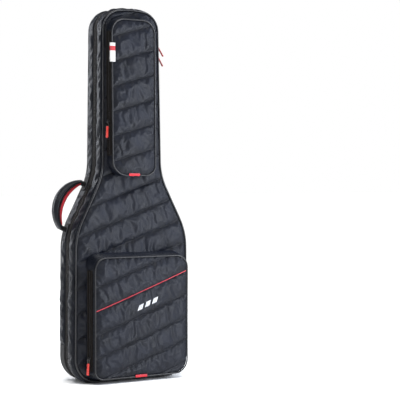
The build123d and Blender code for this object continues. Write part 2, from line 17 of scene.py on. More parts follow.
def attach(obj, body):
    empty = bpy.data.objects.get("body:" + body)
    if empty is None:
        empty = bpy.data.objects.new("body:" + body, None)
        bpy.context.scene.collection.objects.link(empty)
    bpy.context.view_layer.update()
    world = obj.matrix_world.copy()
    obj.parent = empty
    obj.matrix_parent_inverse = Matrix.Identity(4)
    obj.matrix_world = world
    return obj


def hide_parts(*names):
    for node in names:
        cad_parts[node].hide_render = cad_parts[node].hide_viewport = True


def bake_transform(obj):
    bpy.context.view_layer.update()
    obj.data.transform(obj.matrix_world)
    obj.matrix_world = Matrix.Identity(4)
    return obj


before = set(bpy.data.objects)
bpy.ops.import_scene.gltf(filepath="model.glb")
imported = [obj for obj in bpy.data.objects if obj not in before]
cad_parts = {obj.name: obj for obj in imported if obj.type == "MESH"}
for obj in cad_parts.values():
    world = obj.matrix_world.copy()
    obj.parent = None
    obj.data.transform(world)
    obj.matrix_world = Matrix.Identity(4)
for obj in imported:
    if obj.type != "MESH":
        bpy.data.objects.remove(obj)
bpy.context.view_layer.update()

LOG = logging.getLogger("gig_bag")
MM = 0.001
REARWARD = Vector((0, 1, 0))
FORWARD = Vector((0, -1, 0))
Flat = tuple[float, float]


# ---- the bag's outline and depths, in metres ----

@dataclass(frozen=True)
class Station:
    """Place on an outline: position and outward normal in the front view, and arc length."""

    x: float
    z: float
    nx: float
    nz: float
    s: float

    def at(self, offset: float, y: float) -> Vector:
        """Point that lies offset outside the outline at depth y."""
        return Vector((self.x + offset * self.nx, y, self.z + offset * self.nz))


@dataclass(frozen=True)
class Outline:
    """Closed outline with rounded corners, seen from the front and running anticlockwise."""

    corners: tuple[tuple[float, float, float], ...]

    def grown(self, grow: float) -> "Outline":
        """Move the outline outwards.

        Args:
            grow: Distance in metres, negative to move it inwards.

        Returns:
            The parallel outline.
        """
        moved = []
        for index, (x, z, radius) in enumerate(self.corners):
            x0, z0, _ = self.corners[index - 1]
            x1, z1, _ = self.corners[(index + 1) % len(self.corners)]
            before = Vector((x - x0, z - z0)).normalized()
            after = Vector((x1 - x, z1 - z)).normalized()
            reach = grow / (1 + before.dot(after))
            bulge = 1 if before.cross(after) > 0 else -1
            moved.append((x + (before.y + after.y) * reach, z - (before.x + after.x) * reach,
                          max(radius + bulge * grow, 1 * MM)))
        return Outline(tuple(moved))

    def stations(self, step: float) -> list[Station]:
        """Sample the outline.

        Args:
            step: Largest spacing of the samples in metres.

        Returns:
            Stations once round, without a repeat of the first.
        """
        ends, arcs = [], []
        for index, (x, z, radius) in enumerate(self.corners):
            x0, z0, _ = self.corners[index - 1]
            x1, z1, _ = self.corners[(index + 1) % len(self.corners)]
            here = Vector((x, z))
            before = (here - Vector((x0, z0))).normalized()
            after = (Vector((x1, z1)) - here).normalized()
            turn = math.atan2(before.cross(after), before.dot(after))
            reach = radius * math.tan(abs(turn) / 2)
            ends.append((here - before * reach, here + after * reach))
            arcs.append((before, turn, radius))
        spots: list[tuple[Vector, Vector]] = []
        for index, (first, last) in enumerate(ends):
            before, turn, radius = arcs[index]
            normal = Vector((before.y, -before.x))
            side = 1 if turn > 0 else -1
            centre = first - normal * radius * side
            count = max(2, math.ceil(abs(turn) * radius / step))
            for k in range(count):
                angle = turn * k / count
                out = Vector((normal.x * math.cos(angle) - normal.y * math.sin(angle),
                              normal.x * math.sin(angle) + normal.y * math.cos(angle)))
                spots.append((centre + out * radius * side, out))
            following = ends[(index + 1) % len(ends)][0]
            run = following - last
            out = Vector((run.y, -run.x)).normalized()
            count = max(1, math.ceil(run.length / step))
            spots += [(last + run * k / count, out) for k in range(count)]
        placed, total = [], 0.0
        for index, (spot, out) in enumerate(spots):
            if index:
                total += (spot - spots[index - 1][0]).length
            placed.append(Station(spot.x, spot.y, out.x, out.y, total))
        return placed

    def spans(self, slope: float, height: float, edge: float = 0.0) -> list[tuple[Flat, Flat]]:
        """Cut a slanting line by the outline.

        Args:
            slope: Rise of the line over its run to the right.
            height: Height of the line at x = 0.
            edge: Length to leave free at each end.

        Returns:
            Pairs of end points (x, z) of the stretches inside the outline.
        """
        loop = [(p.x, p.z) for p in self.stations(4 * MM)]
        cuts = []
        for (xa, za), (xb, zb) in zip(loop, loop[1:] + loop[:1]):
            fa, fb = za - slope * xa - height, zb - slope * xb - height
            if (fa > 0) != (fb > 0):
                cuts.append(xa + (xb - xa) * fa / (fa - fb))
        cuts.sort()
        trim = edge / math.hypot(1, slope)
        return [((a + trim, height + slope * (a + trim)), (b - trim, height + slope * (b - trim)))
                for a, b in zip(cuts[::2], cuts[1::2]) if b - a > 3 * trim + 8 * MM]


def mirrored(right: Sequence[tuple[float, float, float]],
             crown: tuple[float, float, float]) -> Outline:
    """Outline from its right-hand corners and its crown, in millimetres."""
    left = [(-x, z, r) for x, z, r in reversed(right)]
    return Outline(tuple((x * MM, z * MM, r * MM) for x, z, r in [*right, crown, *left]))


BAG = mirrored([(204, 8, 75), (200.5, 491, 216), (104, 684, 210), (97, 1224, 60)], (0, 1234, 360))
LID_Y = -63 * MM
BACK_Y = 63 * MM
WALL = 8 * MM
PADDING = 16 * MM
LAP = 7 * MM
BAND = 15 * MM
TAPER_Z = 560 * MM
HEAD_TAPER = 9.0 / 680.0
HINGE_Z = (95 * MM, 440 * MM)
HINGE_SIDE_X = 0.15
# Start of the shoulder wall and its direction down the wall on the right-hand side, in millimetres
NECK_X, NECK_Z = 104, 684
WALL_RUN, WALL_DROP = 0.4472, 0.8944
HANDLE_START = 46


def lid_face(z: float) -> float:
    """Depth of the lid's face at a height."""
    return LID_Y + max(0.0, z - TAPER_Z) * HEAD_TAPER


def head_tilt() -> Matrix:
    """Tilt of the lid's tapered head end."""
    pivot = Matrix.Translation((0, LID_Y, TAPER_Z))
    return pivot @ Matrix.Rotation(-math.atan(HEAD_TAPER), 4, "X") @ pivot.inverted()


# ---- finishes ----

def linear(colour: str) -> tuple[float, float, float, float]:
    """Turn an sRGB hex colour into linear light.

    Args:
        colour: Six hex digits after a hash sign.

    Returns:
        Linear red, green, blue and an alpha of one.
    """
    parts = [int(colour[i:i + 2], 16) / 255 for i in (1, 3, 5)]
    return (*[p / 12.92 if p <= 0.04045 else ((p + 0.055) / 1.055) ** 2.4 for p in parts], 1.0)


def add_node(tree: bpy.types.NodeTree, kind: str, settings: dict | None = None,
             inputs: dict | None = None) -> bpy.types.Node:
    """Add a node to a tree.

    Args:
        tree: The node tree.
        kind: The node's type name.
        settings: Properties to set on the node.
        inputs: Values, or sockets to link from, by input name or number.

    Returns:
        The new node.
    """
    made = tree.nodes.new(kind)
    for name, value in (settings or {}).items():
        setattr(made, name, value)
    for socket, value in (inputs or {}).items():
        if isinstance(value, bpy.types.NodeSocket):
            tree.links.new(value, made.inputs[socket])
        else:
            made.inputs[socket].default_value = value
    return made


def wave_scale(pitch: float) -> float:
    """Scale of a Wave texture whose bands repeat every pitch metres."""
    return 2 * math.pi / 20 / pitch


class Weave(Enum):
    """How a cloth's surface is made."""

    TWILL = "diagonal ribs of a close twill"
    PLAIN = "crossing threads of a plain weave"
    RIB = "ribs across a narrow-woven web"
    PILE = "short brushed pile"
    MESH = "knitted spacer mesh with open cells"


class Grid(Enum):
    """Which coordinates a cloth pattern follows."""

    SPACE = "Object"
    CLOTH = "UV"


@dataclass(frozen=True)
class ClothFinish:
    """A textile finish, its colours in sRGB and its sizes in metres."""

    name: str
    colour: str
    shade: str
    weave: Weave
    pitch: float
    roughness: float
    sheen: float = 0.2
    sheen_colour: str = "#ffffff"
    relief: float = 0.25
    grid: Grid = Grid.SPACE
    pucker: float = 0.0
    specular: float = 0.5
    # Colour of the painted sheen on the padded crests; empty for none.
    crest: str = ""

    def pattern(self, tree: bpy.types.NodeTree, place: bpy.types.NodeSocket) -> bpy.types.NodeSocket:
        """Height of the weave, from 0 to 1.

        Args:
            tree: The material's node tree.
            place: Socket with the coordinates in metres.

        Returns:
            Socket with the height.
        """
        scale = wave_scale(self.pitch)
        if self.weave is Weave.PILE:
            return add_node(tree, "ShaderNodeTexNoise", None, {
                "Vector": place, "Scale": 1 / self.pitch, "Detail": 3.0}).outputs["Fac"]
        if self.weave is Weave.MESH:
            return add_node(tree, "ShaderNodeTexVoronoi", {"feature": "F1"}, {
                "Vector": place, "Scale": 1 / self.pitch, "Randomness": 0.25}).outputs["Distance"]
        directions = {Weave.TWILL: ["DIAGONAL"], Weave.RIB: ["X"], Weave.PLAIN: ["X", "Z"]}[self.weave]
        if self.grid is Grid.CLOTH and self.weave is Weave.PLAIN:
            directions = ["X", "Y"]
        waves = [add_node(tree, "ShaderNodeTexWave", {"bands_direction": way}, {
            "Vector": place, "Scale": scale, "Distortion": 0.4, "Detail": 1.0,
            "Detail Scale": 0.4}).outputs["Fac"] for way in directions]
        if len(waves) == 1:
            return waves[0]
        return add_node(tree, "ShaderNodeMath", {"operation": "MULTIPLY"},
                        {0: waves[0], 1: waves[1]}).outputs[0]

    def build(self) -> bpy.types.Material:
        """Make the material.

        Returns:
            The finished material.
        """
        material = bpy.data.materials.new(self.name)
        material.use_nodes = True
        tree = material.node_tree
        tree.nodes.clear()
        place = add_node(tree, "ShaderNodeTexCoord").outputs[self.grid.value]
        solid = add_node(tree, "ShaderNodeTexCoord").outputs["Object"]
        cloud = add_node(tree, "ShaderNodeTexNoise", None, {
            "Vector": solid, "Scale": 16.0, "Detail": 5.0, "Roughness": 0.6}).outputs["Fac"]
        fine = add_node(tree, "ShaderNodeTexNoise", None, {
            "Vector": solid, "Scale": 420.0, "Detail": 2.0}).outputs["Fac"]
        mottle = add_node(tree, "ShaderNodeMath", {"operation": "MULTIPLY_ADD"},
                          {0: fine, 1: 0.35, 2: cloud}).outputs[0]
        ramp = add_node(tree, "ShaderNodeMapRange", None,
                        {"Value": mottle, "From Min": 0.42, "From Max": 0.95}).outputs[0]
        threads = self.pattern(tree, place)
        mixed = add_node(tree, "ShaderNodeMix", {"data_type": "RGBA"},
                         {"Factor": ramp, 6: linear(self.colour), 7: linear(self.shade)}).outputs[2]
        # Painted sheen: the padded crests are tinted lighter and bluer than the seams, scaled by the random
        # mottle.
        if self.crest:
            crest = add_node(tree, "ShaderNodeAttribute", {"attribute_name": "crest"}).outputs["Fac"]
            painted_crest_sheen = add_node(tree, "ShaderNodeMath", {"operation": "MULTIPLY"}, {0: crest, 1: ramp})
            mixed = add_node(tree, "ShaderNodeMix", {"data_type": "RGBA"}, {
                "Factor": painted_crest_sheen.outputs[0], 6: mixed, 7: linear(self.crest)}).outputs[2]
        # Painted shade and highlight: the colour is darkened in the weave's grooves and open cells and
        # lightened a little on its ridges.
        painted_groove_shade = add_node(tree, "ShaderNodeMapRange", None, {
            "Value": threads, "To Min": 0.72, "To Max": 1.08}).outputs[0]
        colour = add_node(tree, "ShaderNodeVectorMath", {"operation": "SCALE"},
                          {0: mixed, "Scale": painted_groove_shade}).outputs[0]
        rough = add_node(tree, "ShaderNodeMapRange", None, {
            "Value": mottle, "From Min": 0.4, "From Max": 0.9, "To Min": self.roughness - 0.05,
            "To Max": min(1.0, self.roughness + 0.09)}).outputs[0]
        bump = add_node(tree, "ShaderNodeBump", None, {
            "Strength": 0.8, "Distance": self.relief * self.pitch, "Height": threads}).outputs[0]
        if self.pucker:
            creases = add_node(tree, "ShaderNodeTexNoise", None, {
                "Vector": solid, "Scale": 75.0, "Detail": 4.0, "Roughness": 0.55,
                "Distortion": 0.6}).outputs["Fac"]
            bump = add_node(tree, "ShaderNodeBump", None, {
                "Strength": 0.7, "Distance": self.pucker, "Height": creases, "Normal": bump}).outputs[0]
        shader = add_node(tree, "ShaderNodeBsdfPrincipled", None, {
            "Base Color": colour, "Roughness": rough, "Normal": bump, "Sheen Weight": self.sheen,
            "Sheen Roughness": 0.45, "Sheen Tint": linear(self.sheen_colour),
            "Specular IOR Level": self.specular})
        add_node(tree, "ShaderNodeOutputMaterial", None, {"Surface": shader.outputs[0]})
        return material


@dataclass(frozen=True)
class SolidFinish:
    """A moulded, cast or plated finish, its colours in sRGB and its grain in metres."""

    name: str
    colour: str
    shade: str
    roughness: float
    grain: float
    relief: float
    metallic: float = 0.0
    coat: float = 0.0
    soft: float = 0.0
    specular: float = 0.5

    def build(self) -> bpy.types.Material:
        """Make the material.

        Returns:
            The finished material.
        """
        material = bpy.data.materials.new(self.name)
        material.use_nodes = True
        tree = material.node_tree
        tree.nodes.clear()
        place = add_node(tree, "ShaderNodeTexCoord").outputs["Object"]
        grain = add_node(tree, "ShaderNodeTexNoise", None, {
            "Vector": place, "Scale": 1 / self.grain, "Detail": 3.0}).outputs["Fac"]
        wear = add_node(tree, "ShaderNodeTexNoise", None, {
            "Vector": place, "Scale": 55.0, "Detail": 6.0, "Roughness": 0.65}).outputs["Fac"]
        spread = add_node(tree, "ShaderNodeMapRange", None,
                          {"Value": wear, "From Min": 0.4, "From Max": 0.72}).outputs[0]
        colour = add_node(tree, "ShaderNodeMix", {"data_type": "RGBA"}, {
            "Factor": spread, 6: linear(self.colour), 7: linear(self.shade)}).outputs[2]
        rough = add_node(tree, "ShaderNodeMapRange", None, {
            "Value": wear, "From Min": 0.3, "From Max": 0.75, "To Min": max(0.05, self.roughness - 0.07),
            "To Max": self.roughness + 0.1}).outputs[0]
        bump = add_node(tree, "ShaderNodeBump", None, {
            "Strength": 0.6, "Distance": self.relief, "Height": grain}).outputs[0]
        shader = add_node(tree, "ShaderNodeBsdfPrincipled", None, {
            "Base Color": colour, "Roughness": rough, "Normal": bump, "Metallic": self.metallic,
            "Coat Weight": self.coat, "Coat Roughness": 0.25, "Subsurface Weight": self.soft,
            "Subsurface Scale": 2 * MM, "Specular IOR Level": self.specular})
        add_node(tree, "ShaderNodeOutputMaterial", None, {"Surface": shader.outputs[0]})
        return material


# Satin nylon, woven in a close twill and pulled over foam: near black, with a broad cold sheen on
# every crest, partly from the lamps and partly painted into the colour as a lighter blue tint. The real
# thread is 0.3 mm; it is drawn at 1.1 mm so that it shows.
SHELL = ClothFinish("woven_satin_nylon", "#0c0e14", "#12151d", Weave.TWILL, 1.1 * MM, 0.36,
                    sheen=0.03, sheen_colour="#9fb0d8", pucker=0.5 * MM, specular=0.22,
                    crest="#151925")
# The same nylon on the side walls, stretched smooth, so it mirrors the light in one long strip.
WALL_CLOTH = ClothFinish("woven_satin_nylon_on_foam", "#0e1117", "#161922", Weave.TWILL, 1.1 * MM, 0.27,
                         sheen=0.03, sheen_colour="#9fb0d8", pucker=0.4 * MM, grid=Grid.CLOTH,
                         specular=0.15)
# Woven polyester zip tape: flat, dry and slightly brown, with fine ribs along the tape.
TAPE = ClothFinish("woven_polyester_tape", "#151210", "#1d1916", Weave.RIB, 1.4 * MM, 0.86,
                   sheen=0.02, grid=Grid.CLOTH, specular=0.12)
# Polypropylene webbing: coarse ribs across the web, slightly shiny ridges.
WEB = ClothFinish("woven_polypropylene_webbing", "#100f12", "#19181b", Weave.RIB, 2.2 * MM, 0.60,
                  sheen=0.02, grid=Grid.CLOTH, relief=0.35, specular=0.25)
# Brushed tricot plush inside: light-drinking charcoal pile.
PLUSH = ClothFinish("brushed_tricot_plush", "#34363b", "#46484e", Weave.PILE, 1.6 * MM, 0.95,
                    sheen=0.6, relief=0.8, specular=0.2)
# Knitted spacer mesh on the straps: dull black with open cells 3 mm across.
AIR_MESH = ClothFinish("knitted_spacer_mesh", "#131417", "#1c1d21", Weave.MESH, 3.0 * MM, 0.85,
                       sheen=0.1, relief=0.5, specular=0.25)
# Canvas on the straps and yoke, with a painted sheen tinted onto its padded crests.
STRAP_CLOTH = ClothFinish("woven_nylon_canvas", "#0f1116", "#16181f", Weave.PLAIN, 1.4 * MM, 0.5,
                          sheen=0.04, sheen_colour="#aab4c8", pucker=0.4 * MM, crest="#1c1f28")
# Brushed red polyester in the grip and the small sewn tabs: saturated and matt.
RED_CLOTH = ClothFinish("brushed_red_polyester", "#c81628", "#e02a38", Weave.PLAIN, 1.2 * MM, 0.7,
                        sheen=0.35, sheen_colour="#ff9c9c", pucker=0.3 * MM)
# Satin-woven label: clean white floats with a faint sheen, and one plain red bar.
LABEL = ClothFinish("woven_satin_label", "#dedbd6", "#f1efec", Weave.PLAIN, 1.0 * MM, 0.5,
                    sheen=0.3, specular=0.4)
LABEL_BAR = ClothFinish("woven_red_label_bar", "#b3222b", "#c9343c", Weave.PLAIN, 1.0 * MM, 0.55,
                        sheen=0.2, specular=0.4)
# Bonded nylon sewing thread: round, slightly waxy.
THREAD = SolidFinish("bonded_nylon_thread", "#1e1f24", "#2c2d33", 0.5, 0.4 * MM, 0.05 * MM)
PALE_THREAD = SolidFinish("bonded_nylon_thread_grey", "#6d7078", "#8a8d95", 0.5, 0.4 * MM, 0.05 * MM)
EMBROIDERY = SolidFinish("rayon_embroidery_thread", "#c9cbd0", "#e2e3e6", 0.35, 0.4 * MM, 0.05 * MM)
# Extruded PVC piping: plain black with a soft line of gloss.
PIPING = SolidFinish("extruded_pvc_piping", "#101013", "#1a1a1e", 0.38, 0.8 * MM, 0.04 * MM)
RED_PIPING = SolidFinish("extruded_red_pvc_piping", "#b32a38", "#c43a47", 0.42, 0.8 * MM, 0.04 * MM)
# Injection-moulded soft PVC zip pulls: bright red, a little glow at the thin edges.
RED_PVC = SolidFinish("moulded_red_pvc", "#d33830", "#e4493f", 0.42, 0.5 * MM, 0.05 * MM, soft=0.08)
DARK_RED_PVC = SolidFinish("moulded_dark_red_pvc", "#9d2226", "#b02e30", 0.42, 0.5 * MM, 0.05 * MM,
                           soft=0.05)
# Spiral nylon zip coil: glossy black teeth.
COIL = SolidFinish("moulded_nylon_coil", "#121215", "#1d1d21", 0.35, 0.6 * MM, 0.03 * MM)
# Enamelled zinc die-casting: hard black gloss, greyer where it rubs.
ZINC = SolidFinish("enamelled_zinc", "#17171a", "#3a3a3e", 0.3, 0.5 * MM, 0.03 * MM, metallic=0.4,
                   coat=0.5)
# Dark nickel plate over bent steel wire: warm dark mirror.
NICKEL = SolidFinish("dark_nickel_plate", "#6f6c69", "#8b8782", 0.28, 0.4 * MM, 0.02 * MM, metallic=1.0)
# Injection-moulded acetal buckles: dark grey with a fine spark texture.
ACETAL = SolidFinish("moulded_acetal", "#232427", "#303135", 0.46, 0.5 * MM, 0.05 * MM)
# Moulded rubber corner guards: dull black, dusted grey where they scuff.
RUBBER = SolidFinish("moulded_rubber", "#1a1a1b", "#343436", 0.75, 0.9 * MM, 0.12 * MM)
# Painted studio floor: pale, neutral and even, with no gloss.
FLOOR = SolidFinish("painted_studio_floor", "#fbfbfa", "#fdfdfc", 1.0, 4 * MM, 0.02 * MM, specular=0.0)

MATERIALS: dict[str, bpy.types.Material] = {}


def dressed(finish: ClothFinish | SolidFinish) -> bpy.types.Material:
    """Material of a finish, made the first time that it is asked for."""
    if finish.name not in MATERIALS:
        MATERIALS[finish.name] = finish.build()
    return MATERIALS[finish.name]


# ---- mesh tools ----

def shown(name: str, data: bpy.types.ID) -> bpy.types.Object:
    """Put a mesh or other data in the scene as an object."""
    made = bpy.data.objects.new(name, data)
    bpy.context.scene.collection.objects.link(made)
    return made


@dataclass
class Draft:
    """Points, faces and cloth coordinates of a mesh that is being made."""

    points: list[Vector] = field(default_factory=list)
    faces: list[tuple[int, ...]] = field(default_factory=list)
    cloth: list[Flat] = field(default_factory=list)

    def loft(self, rings: Sequence[Sequence[Vector]], closed: bool = False) -> list[list[int]]:
        """Skin a row of rings of equal length.

        Args:
            rings: Points of each ring, in the same order in each.
            closed: Whether the last ring joins the first.

        Returns:
            Numbers of the new points, ring by ring.
        """
        base, count = len(self.points), len(rings[0])
        lengths = [0.0]
        for here, ahead in zip(rings, rings[1:]):
            lengths.append(lengths[-1] + (ahead[0] - here[0]).length)
        for ring, length in zip(rings, lengths):
            across = 0.0
            for index, point in enumerate(ring):
                if index:
                    across += (point - ring[index - 1]).length
                self.points.append(point.copy())
                self.cloth.append((length, across))
        grid = [[base + r * count + k for k in range(count)] for r in range(len(rings))]
        for r in range(len(rings) if closed else len(rings) - 1):
            here, ahead = grid[r], grid[(r + 1) % len(rings)]
            for k in range(count):
                j = (k + 1) % count
                self.faces.append((here[k], here[j], ahead[j], ahead[k]))
        return grid

    def cap(self, ring: Sequence[int]) -> None:
        """Close the end of a loft with a fan round its middle."""
        middle = sum((self.points[i] for i in ring), Vector()) / len(ring)
        self.points.append(middle)
        self.cloth.append(self.cloth[ring[0]])
        for k, i in enumerate(ring):
            self.faces.append((i, ring[(k + 1) % len(ring)], len(self.points) - 1))

    def tube(self, rings: Sequence[Sequence[Vector]]) -> list[list[int]]:
        """Loft closed rings and cap both ends."""
        grid = self.loft(rings)
        self.cap(grid[0])
        self.cap(grid[-1])
        return grid

    def moved(self, place: Matrix) -> "Draft":
        """Move every point by a matrix."""
        self.points = [place @ point for point in self.points]
        return self

    def piece(self, name: str, *finishes: ClothFinish | SolidFinish,
              choose: Callable[[Vector], int] | None = None) -> bpy.types.Object:
        """Make the object, a closed shell whose faces are turned outwards.

        Args:
            name: Piece name.
            finishes: Its finishes, in slot order.
            choose: Gives a face's finish number from its middle.

        Returns:
            The new object, smooth-shaded.
        """
        mesh = bpy.data.meshes.new(name)
        mesh.from_pydata(self.points, [], self.faces)
        layer = mesh.uv_layers.new(name="cloth")
        corners = [loop.vertex_index for loop in mesh.loops]
        for polygon in mesh.polygons:
            first = self.cloth[corners[polygon.loop_start]]
            for k in polygon.loop_indices:
                u, v = self.cloth[corners[k]]
                if abs(u - first[0]) > 0.2:
                    u = first[0]
                if abs(v - first[1]) > 0.2:
                    v = first[1]
                layer.data[k].uv = (u, v)
        shell = bmesh.new()
        shell.from_mesh(mesh)
        bmesh.ops.recalc_face_normals(shell, faces=shell.faces)
        shell.to_mesh(mesh)
        shell.free()
        for finish in finishes:
            mesh.materials.append(dressed(finish))
        for polygon in mesh.polygons:
            polygon.use_smooth = True
            if choose:
                polygon.material_index = choose(polygon.center)
        return shown(name, mesh)


def tubed(rings: Sequence[Sequence[Vector]]) -> Draft:
    """Draft of one tube with capped ends."""
    draft = Draft()
    draft.tube(rings)
    return draft


def softened(piece: bpy.types.Object) -> bpy.types.Object:
    """Round a piece off with a Subdivision Surface modifier."""
    modifier = piece.modifiers.new("Rounding", "SUBSURF")
    modifier.levels = modifier.render_levels = 1
    return piece


def fixed(piece: bpy.types.Object, body: str, *nodes: str) -> bpy.types.Object:
    """Make a piece ride on a body and stand for CAD nodes.

    Args:
        piece: The piece.
        body: Name of the body it moves with.
        nodes: CAD nodes that it takes the place of.

    Returns:
        The same piece.
    """
    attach(piece, body)
    if nodes:
        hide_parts(*nodes)
    LOG.info("%s on %s", piece.name, body)
    return piece


@dataclass(frozen=True)
class Frame:
    """Place on a path: its point, the direction across the band and the direction out of it."""

    spot: Vector
    across: Vector
    out: Vector


def along(points: Sequence[Vector], out: Vector, step: float) -> list[Frame]:
    """Frames along a line of points.

    Args:
        points: The line's points.
        out: Direction out of the band, the same all the way.
        step: Largest spacing of the frames.

    Returns:
        Evenly spaced frames from the first point to the last.
    """
    spots = [points[0]]
    for here, ahead in zip(points, points[1:]):
        count = max(1, math.ceil((ahead - here).length / step))
        spots += [here.lerp(ahead, k / count) for k in range(1, count + 1)]
    frames = []
    for index, spot in enumerate(spots):
        run = spots[min(index + 1, len(spots) - 1)] - spots[max(index - 1, 0)]
        across = run.cross(out).normalized()
        frames.append(Frame(spot, across, across.cross(run).normalized()))
    return frames


def rounded_line(points: Sequence[Vector], radii: Sequence[float], step: float) -> list[Vector]:
    """Line with rounded bends.

    Args:
        points: The line's corners, both ends included.
        radii: Bend radius at each inner corner.
        step: Largest spacing of the result on a bend.

    Returns:
        Points along the line.
    """
    line = [points[0]]
    for before, here, after, radius in zip(points, points[1:], points[2:], radii):
        back, ahead = (before - here).normalized(), (after - here).normalized()
        turn = math.pi - back.angle(ahead)
        reach = radius * math.tan(turn / 2)
        count = max(2, math.ceil(turn * radius / step))
        centre = here + (back + ahead).normalized() * radius / math.cos(turn / 2)
        first, last = here + back * reach - centre, here + ahead * reach - centre
        for k in range(count + 1):
            line.append(centre + first.lerp(last, k / count).normalized() * radius)
    return line + [points[-1]]


def oblong(width: float, thick: float, edge: float = 0.45, count: int = 3) -> list[Flat]:
    """Section of a flat band with rounded edges.

    Args:
        width: Width of the band.
        thick: Thickness of the band.
        edge: Roundness of its edges, as a part of the thickness.
        count: Points on each flat side besides its ends.

    Returns:
        Points (across, out) once round.
    """
    half, lift, cut = width / 2, thick / 2, thick * edge
    top = [(-half + cut + (width - 2 * cut) * k / (count + 1), lift) for k in range(count + 2)]
    return [(-half, 0.0), *top, (half, 0.0), *[(a, -o) for a, o in reversed(top)]]


def swept(frames: Sequence[Frame], section: Sequence[Flat]) -> list[list[Vector]]:
    """Rings of a section carried along frames."""
    return [[f.spot + f.across * a + f.out * o for a, o in section] for f in frames]


def band(points: Sequence[Vector], out: Vector, width: float, thick: float,
         step: float = 4 * MM) -> Draft:
    """Flat web along a line, its middle on the line."""
    draft = tubed(swept(along(points, out, step), oblong(width, thick)))
    return draft


def stitch_tree() -> bpy.types.NodeTree:
    """Geometry Nodes tree that lays beads along lines: stitches, coil teeth and ribs.

    Returns:
        The tree, with named inputs for the beads' spacing and size and their material.
    """
    tree = bpy.data.node_groups.new("Row of beads", "GeometryNodeTree")
    face = tree.interface
    face.new_socket("Geometry", in_out="INPUT", socket_type="NodeSocketGeometry")
    for name in ("Spacing", "Length", "Width", "Height"):
        face.new_socket(name, in_out="INPUT", socket_type="NodeSocketFloat")
    face.new_socket("Material", in_out="INPUT", socket_type="NodeSocketMaterial")
    face.new_socket("Geometry", in_out="OUTPUT", socket_type="NodeSocketGeometry")
    source = add_node(tree, "NodeGroupInput").outputs
    curve = add_node(tree, "GeometryNodeMeshToCurve", None, {"Mesh": source["Geometry"]})
    even = add_node(tree, "GeometryNodeResampleCurve", {"mode": "LENGTH"},
                    {"Curve": curve.outputs[0], "Length": source["Spacing"]})
    run = add_node(tree, "GeometryNodeInputTangent").outputs[0]
    out = add_node(tree, "GeometryNodeInputNamedAttribute", {"data_type": "FLOAT_VECTOR"},
                   {"Name": "out"}).outputs[0]
    turned = add_node(tree, "FunctionNodeAlignRotationToVector", {"axis": "Z"}, {"Vector": out})
    turned = add_node(tree, "FunctionNodeAlignRotationToVector", {"axis": "X", "pivot_axis": "Z"},
                      {"Rotation": turned.outputs[0], "Vector": run})
    size = add_node(tree, "ShaderNodeCombineXYZ", None, {
        "X": source["Length"], "Y": source["Width"], "Z": source["Height"]}).outputs[0]
    bead = add_node(tree, "GeometryNodeMeshUVSphere", None,
                    {"Segments": 6, "Rings": 4, "Radius": 0.5}).outputs["Mesh"]
    laid = add_node(tree, "GeometryNodeInstanceOnPoints", None, {
        "Points": even.outputs[0], "Instance": bead, "Rotation": turned.outputs[0], "Scale": size})
    whole = add_node(tree, "GeometryNodeRealizeInstances", None, {"Geometry": laid.outputs[0]})
    dyed = add_node(tree, "GeometryNodeSetMaterial", None,
                    {"Geometry": whole.outputs[0], "Material": source["Material"]})
    add_node(tree, "NodeGroupOutput", None, {"Geometry": dyed.outputs[0]})
    return tree


BEADS = stitch_tree()
Run = list[tuple[Vector, Vector]]


@dataclass(frozen=True)
class Beads:
    """Row of small beads along lines, sizes in metres."""

    spacing: float
    length: float
    width: float
    height: float
    finish: SolidFinish

    def along(self, name: str, runs: Iterable[Run]) -> bpy.types.Object:
        """Lay the beads.

        Args:
            name: Piece name.
            runs: Lines, each a list of points with the direction out of the surface there.

        Returns:
            The beads as one plain mesh piece.
        """
        points, outs, edges = [], [], []
        for run in runs:
            edges += [(len(points) + k, len(points) + k + 1) for k in range(len(run) - 1)]
            points += [point for point, _ in run]
            outs += [out for _, out in run]
        lines = bpy.data.meshes.new(name + "_lines")
        lines.from_pydata(points, edges, [])
        layer = lines.attributes.new("out", "FLOAT_VECTOR", "POINT")
        layer.data.foreach_set("vector", [c for out in outs for c in out])
        carrier = shown(name + "_lines", lines)
        modifier = carrier.modifiers.new("Beads", "NODES")
        modifier.node_group = BEADS
        values = {"Spacing": self.spacing, "Length": self.length, "Width": self.width,
                  "Height": self.height, "Material": dressed(self.finish)}
        for socket in BEADS.interface.items_tree:
            if socket.in_out == "INPUT" and socket.name in values:
                modifier[socket.identifier] = values[socket.name]
        graph = bpy.context.evaluated_depsgraph_get()
        mesh = bpy.data.meshes.new_from_object(carrier.evaluated_get(graph))
        mesh.name = name
        bpy.data.objects.remove(carrier)
        bpy.data.meshes.remove(lines)
        for polygon in mesh.polygons:
            polygon.use_smooth = True
        return shown(name, mesh)


SEAM_STITCH = Beads(3.6 * MM, 2.9 * MM, 0.9 * MM, 0.8 * MM, THREAD)
PALE_STITCH = Beads(4.2 * MM, 3.2 * MM, 1.0 * MM, 0.9 * MM, PALE_THREAD)
COIL_TEETH = Beads(2.0 * MM, 1.5 * MM, 3.2 * MM, 1.6 * MM, COIL)


def box_cross(corners: Sequence[Vector], out: Vector) -> list[Run]:
    """Lines of a box-and-cross stitch through four corners."""
    a, b, c, d = corners
    return [[(a, out), (b, out)], [(b, out), (c, out)], [(c, out), (d, out)], [(d, out), (a, out)],
            [(a, out), (c, out)], [(b, out), (d, out)]]


# ---- padded cloth ----

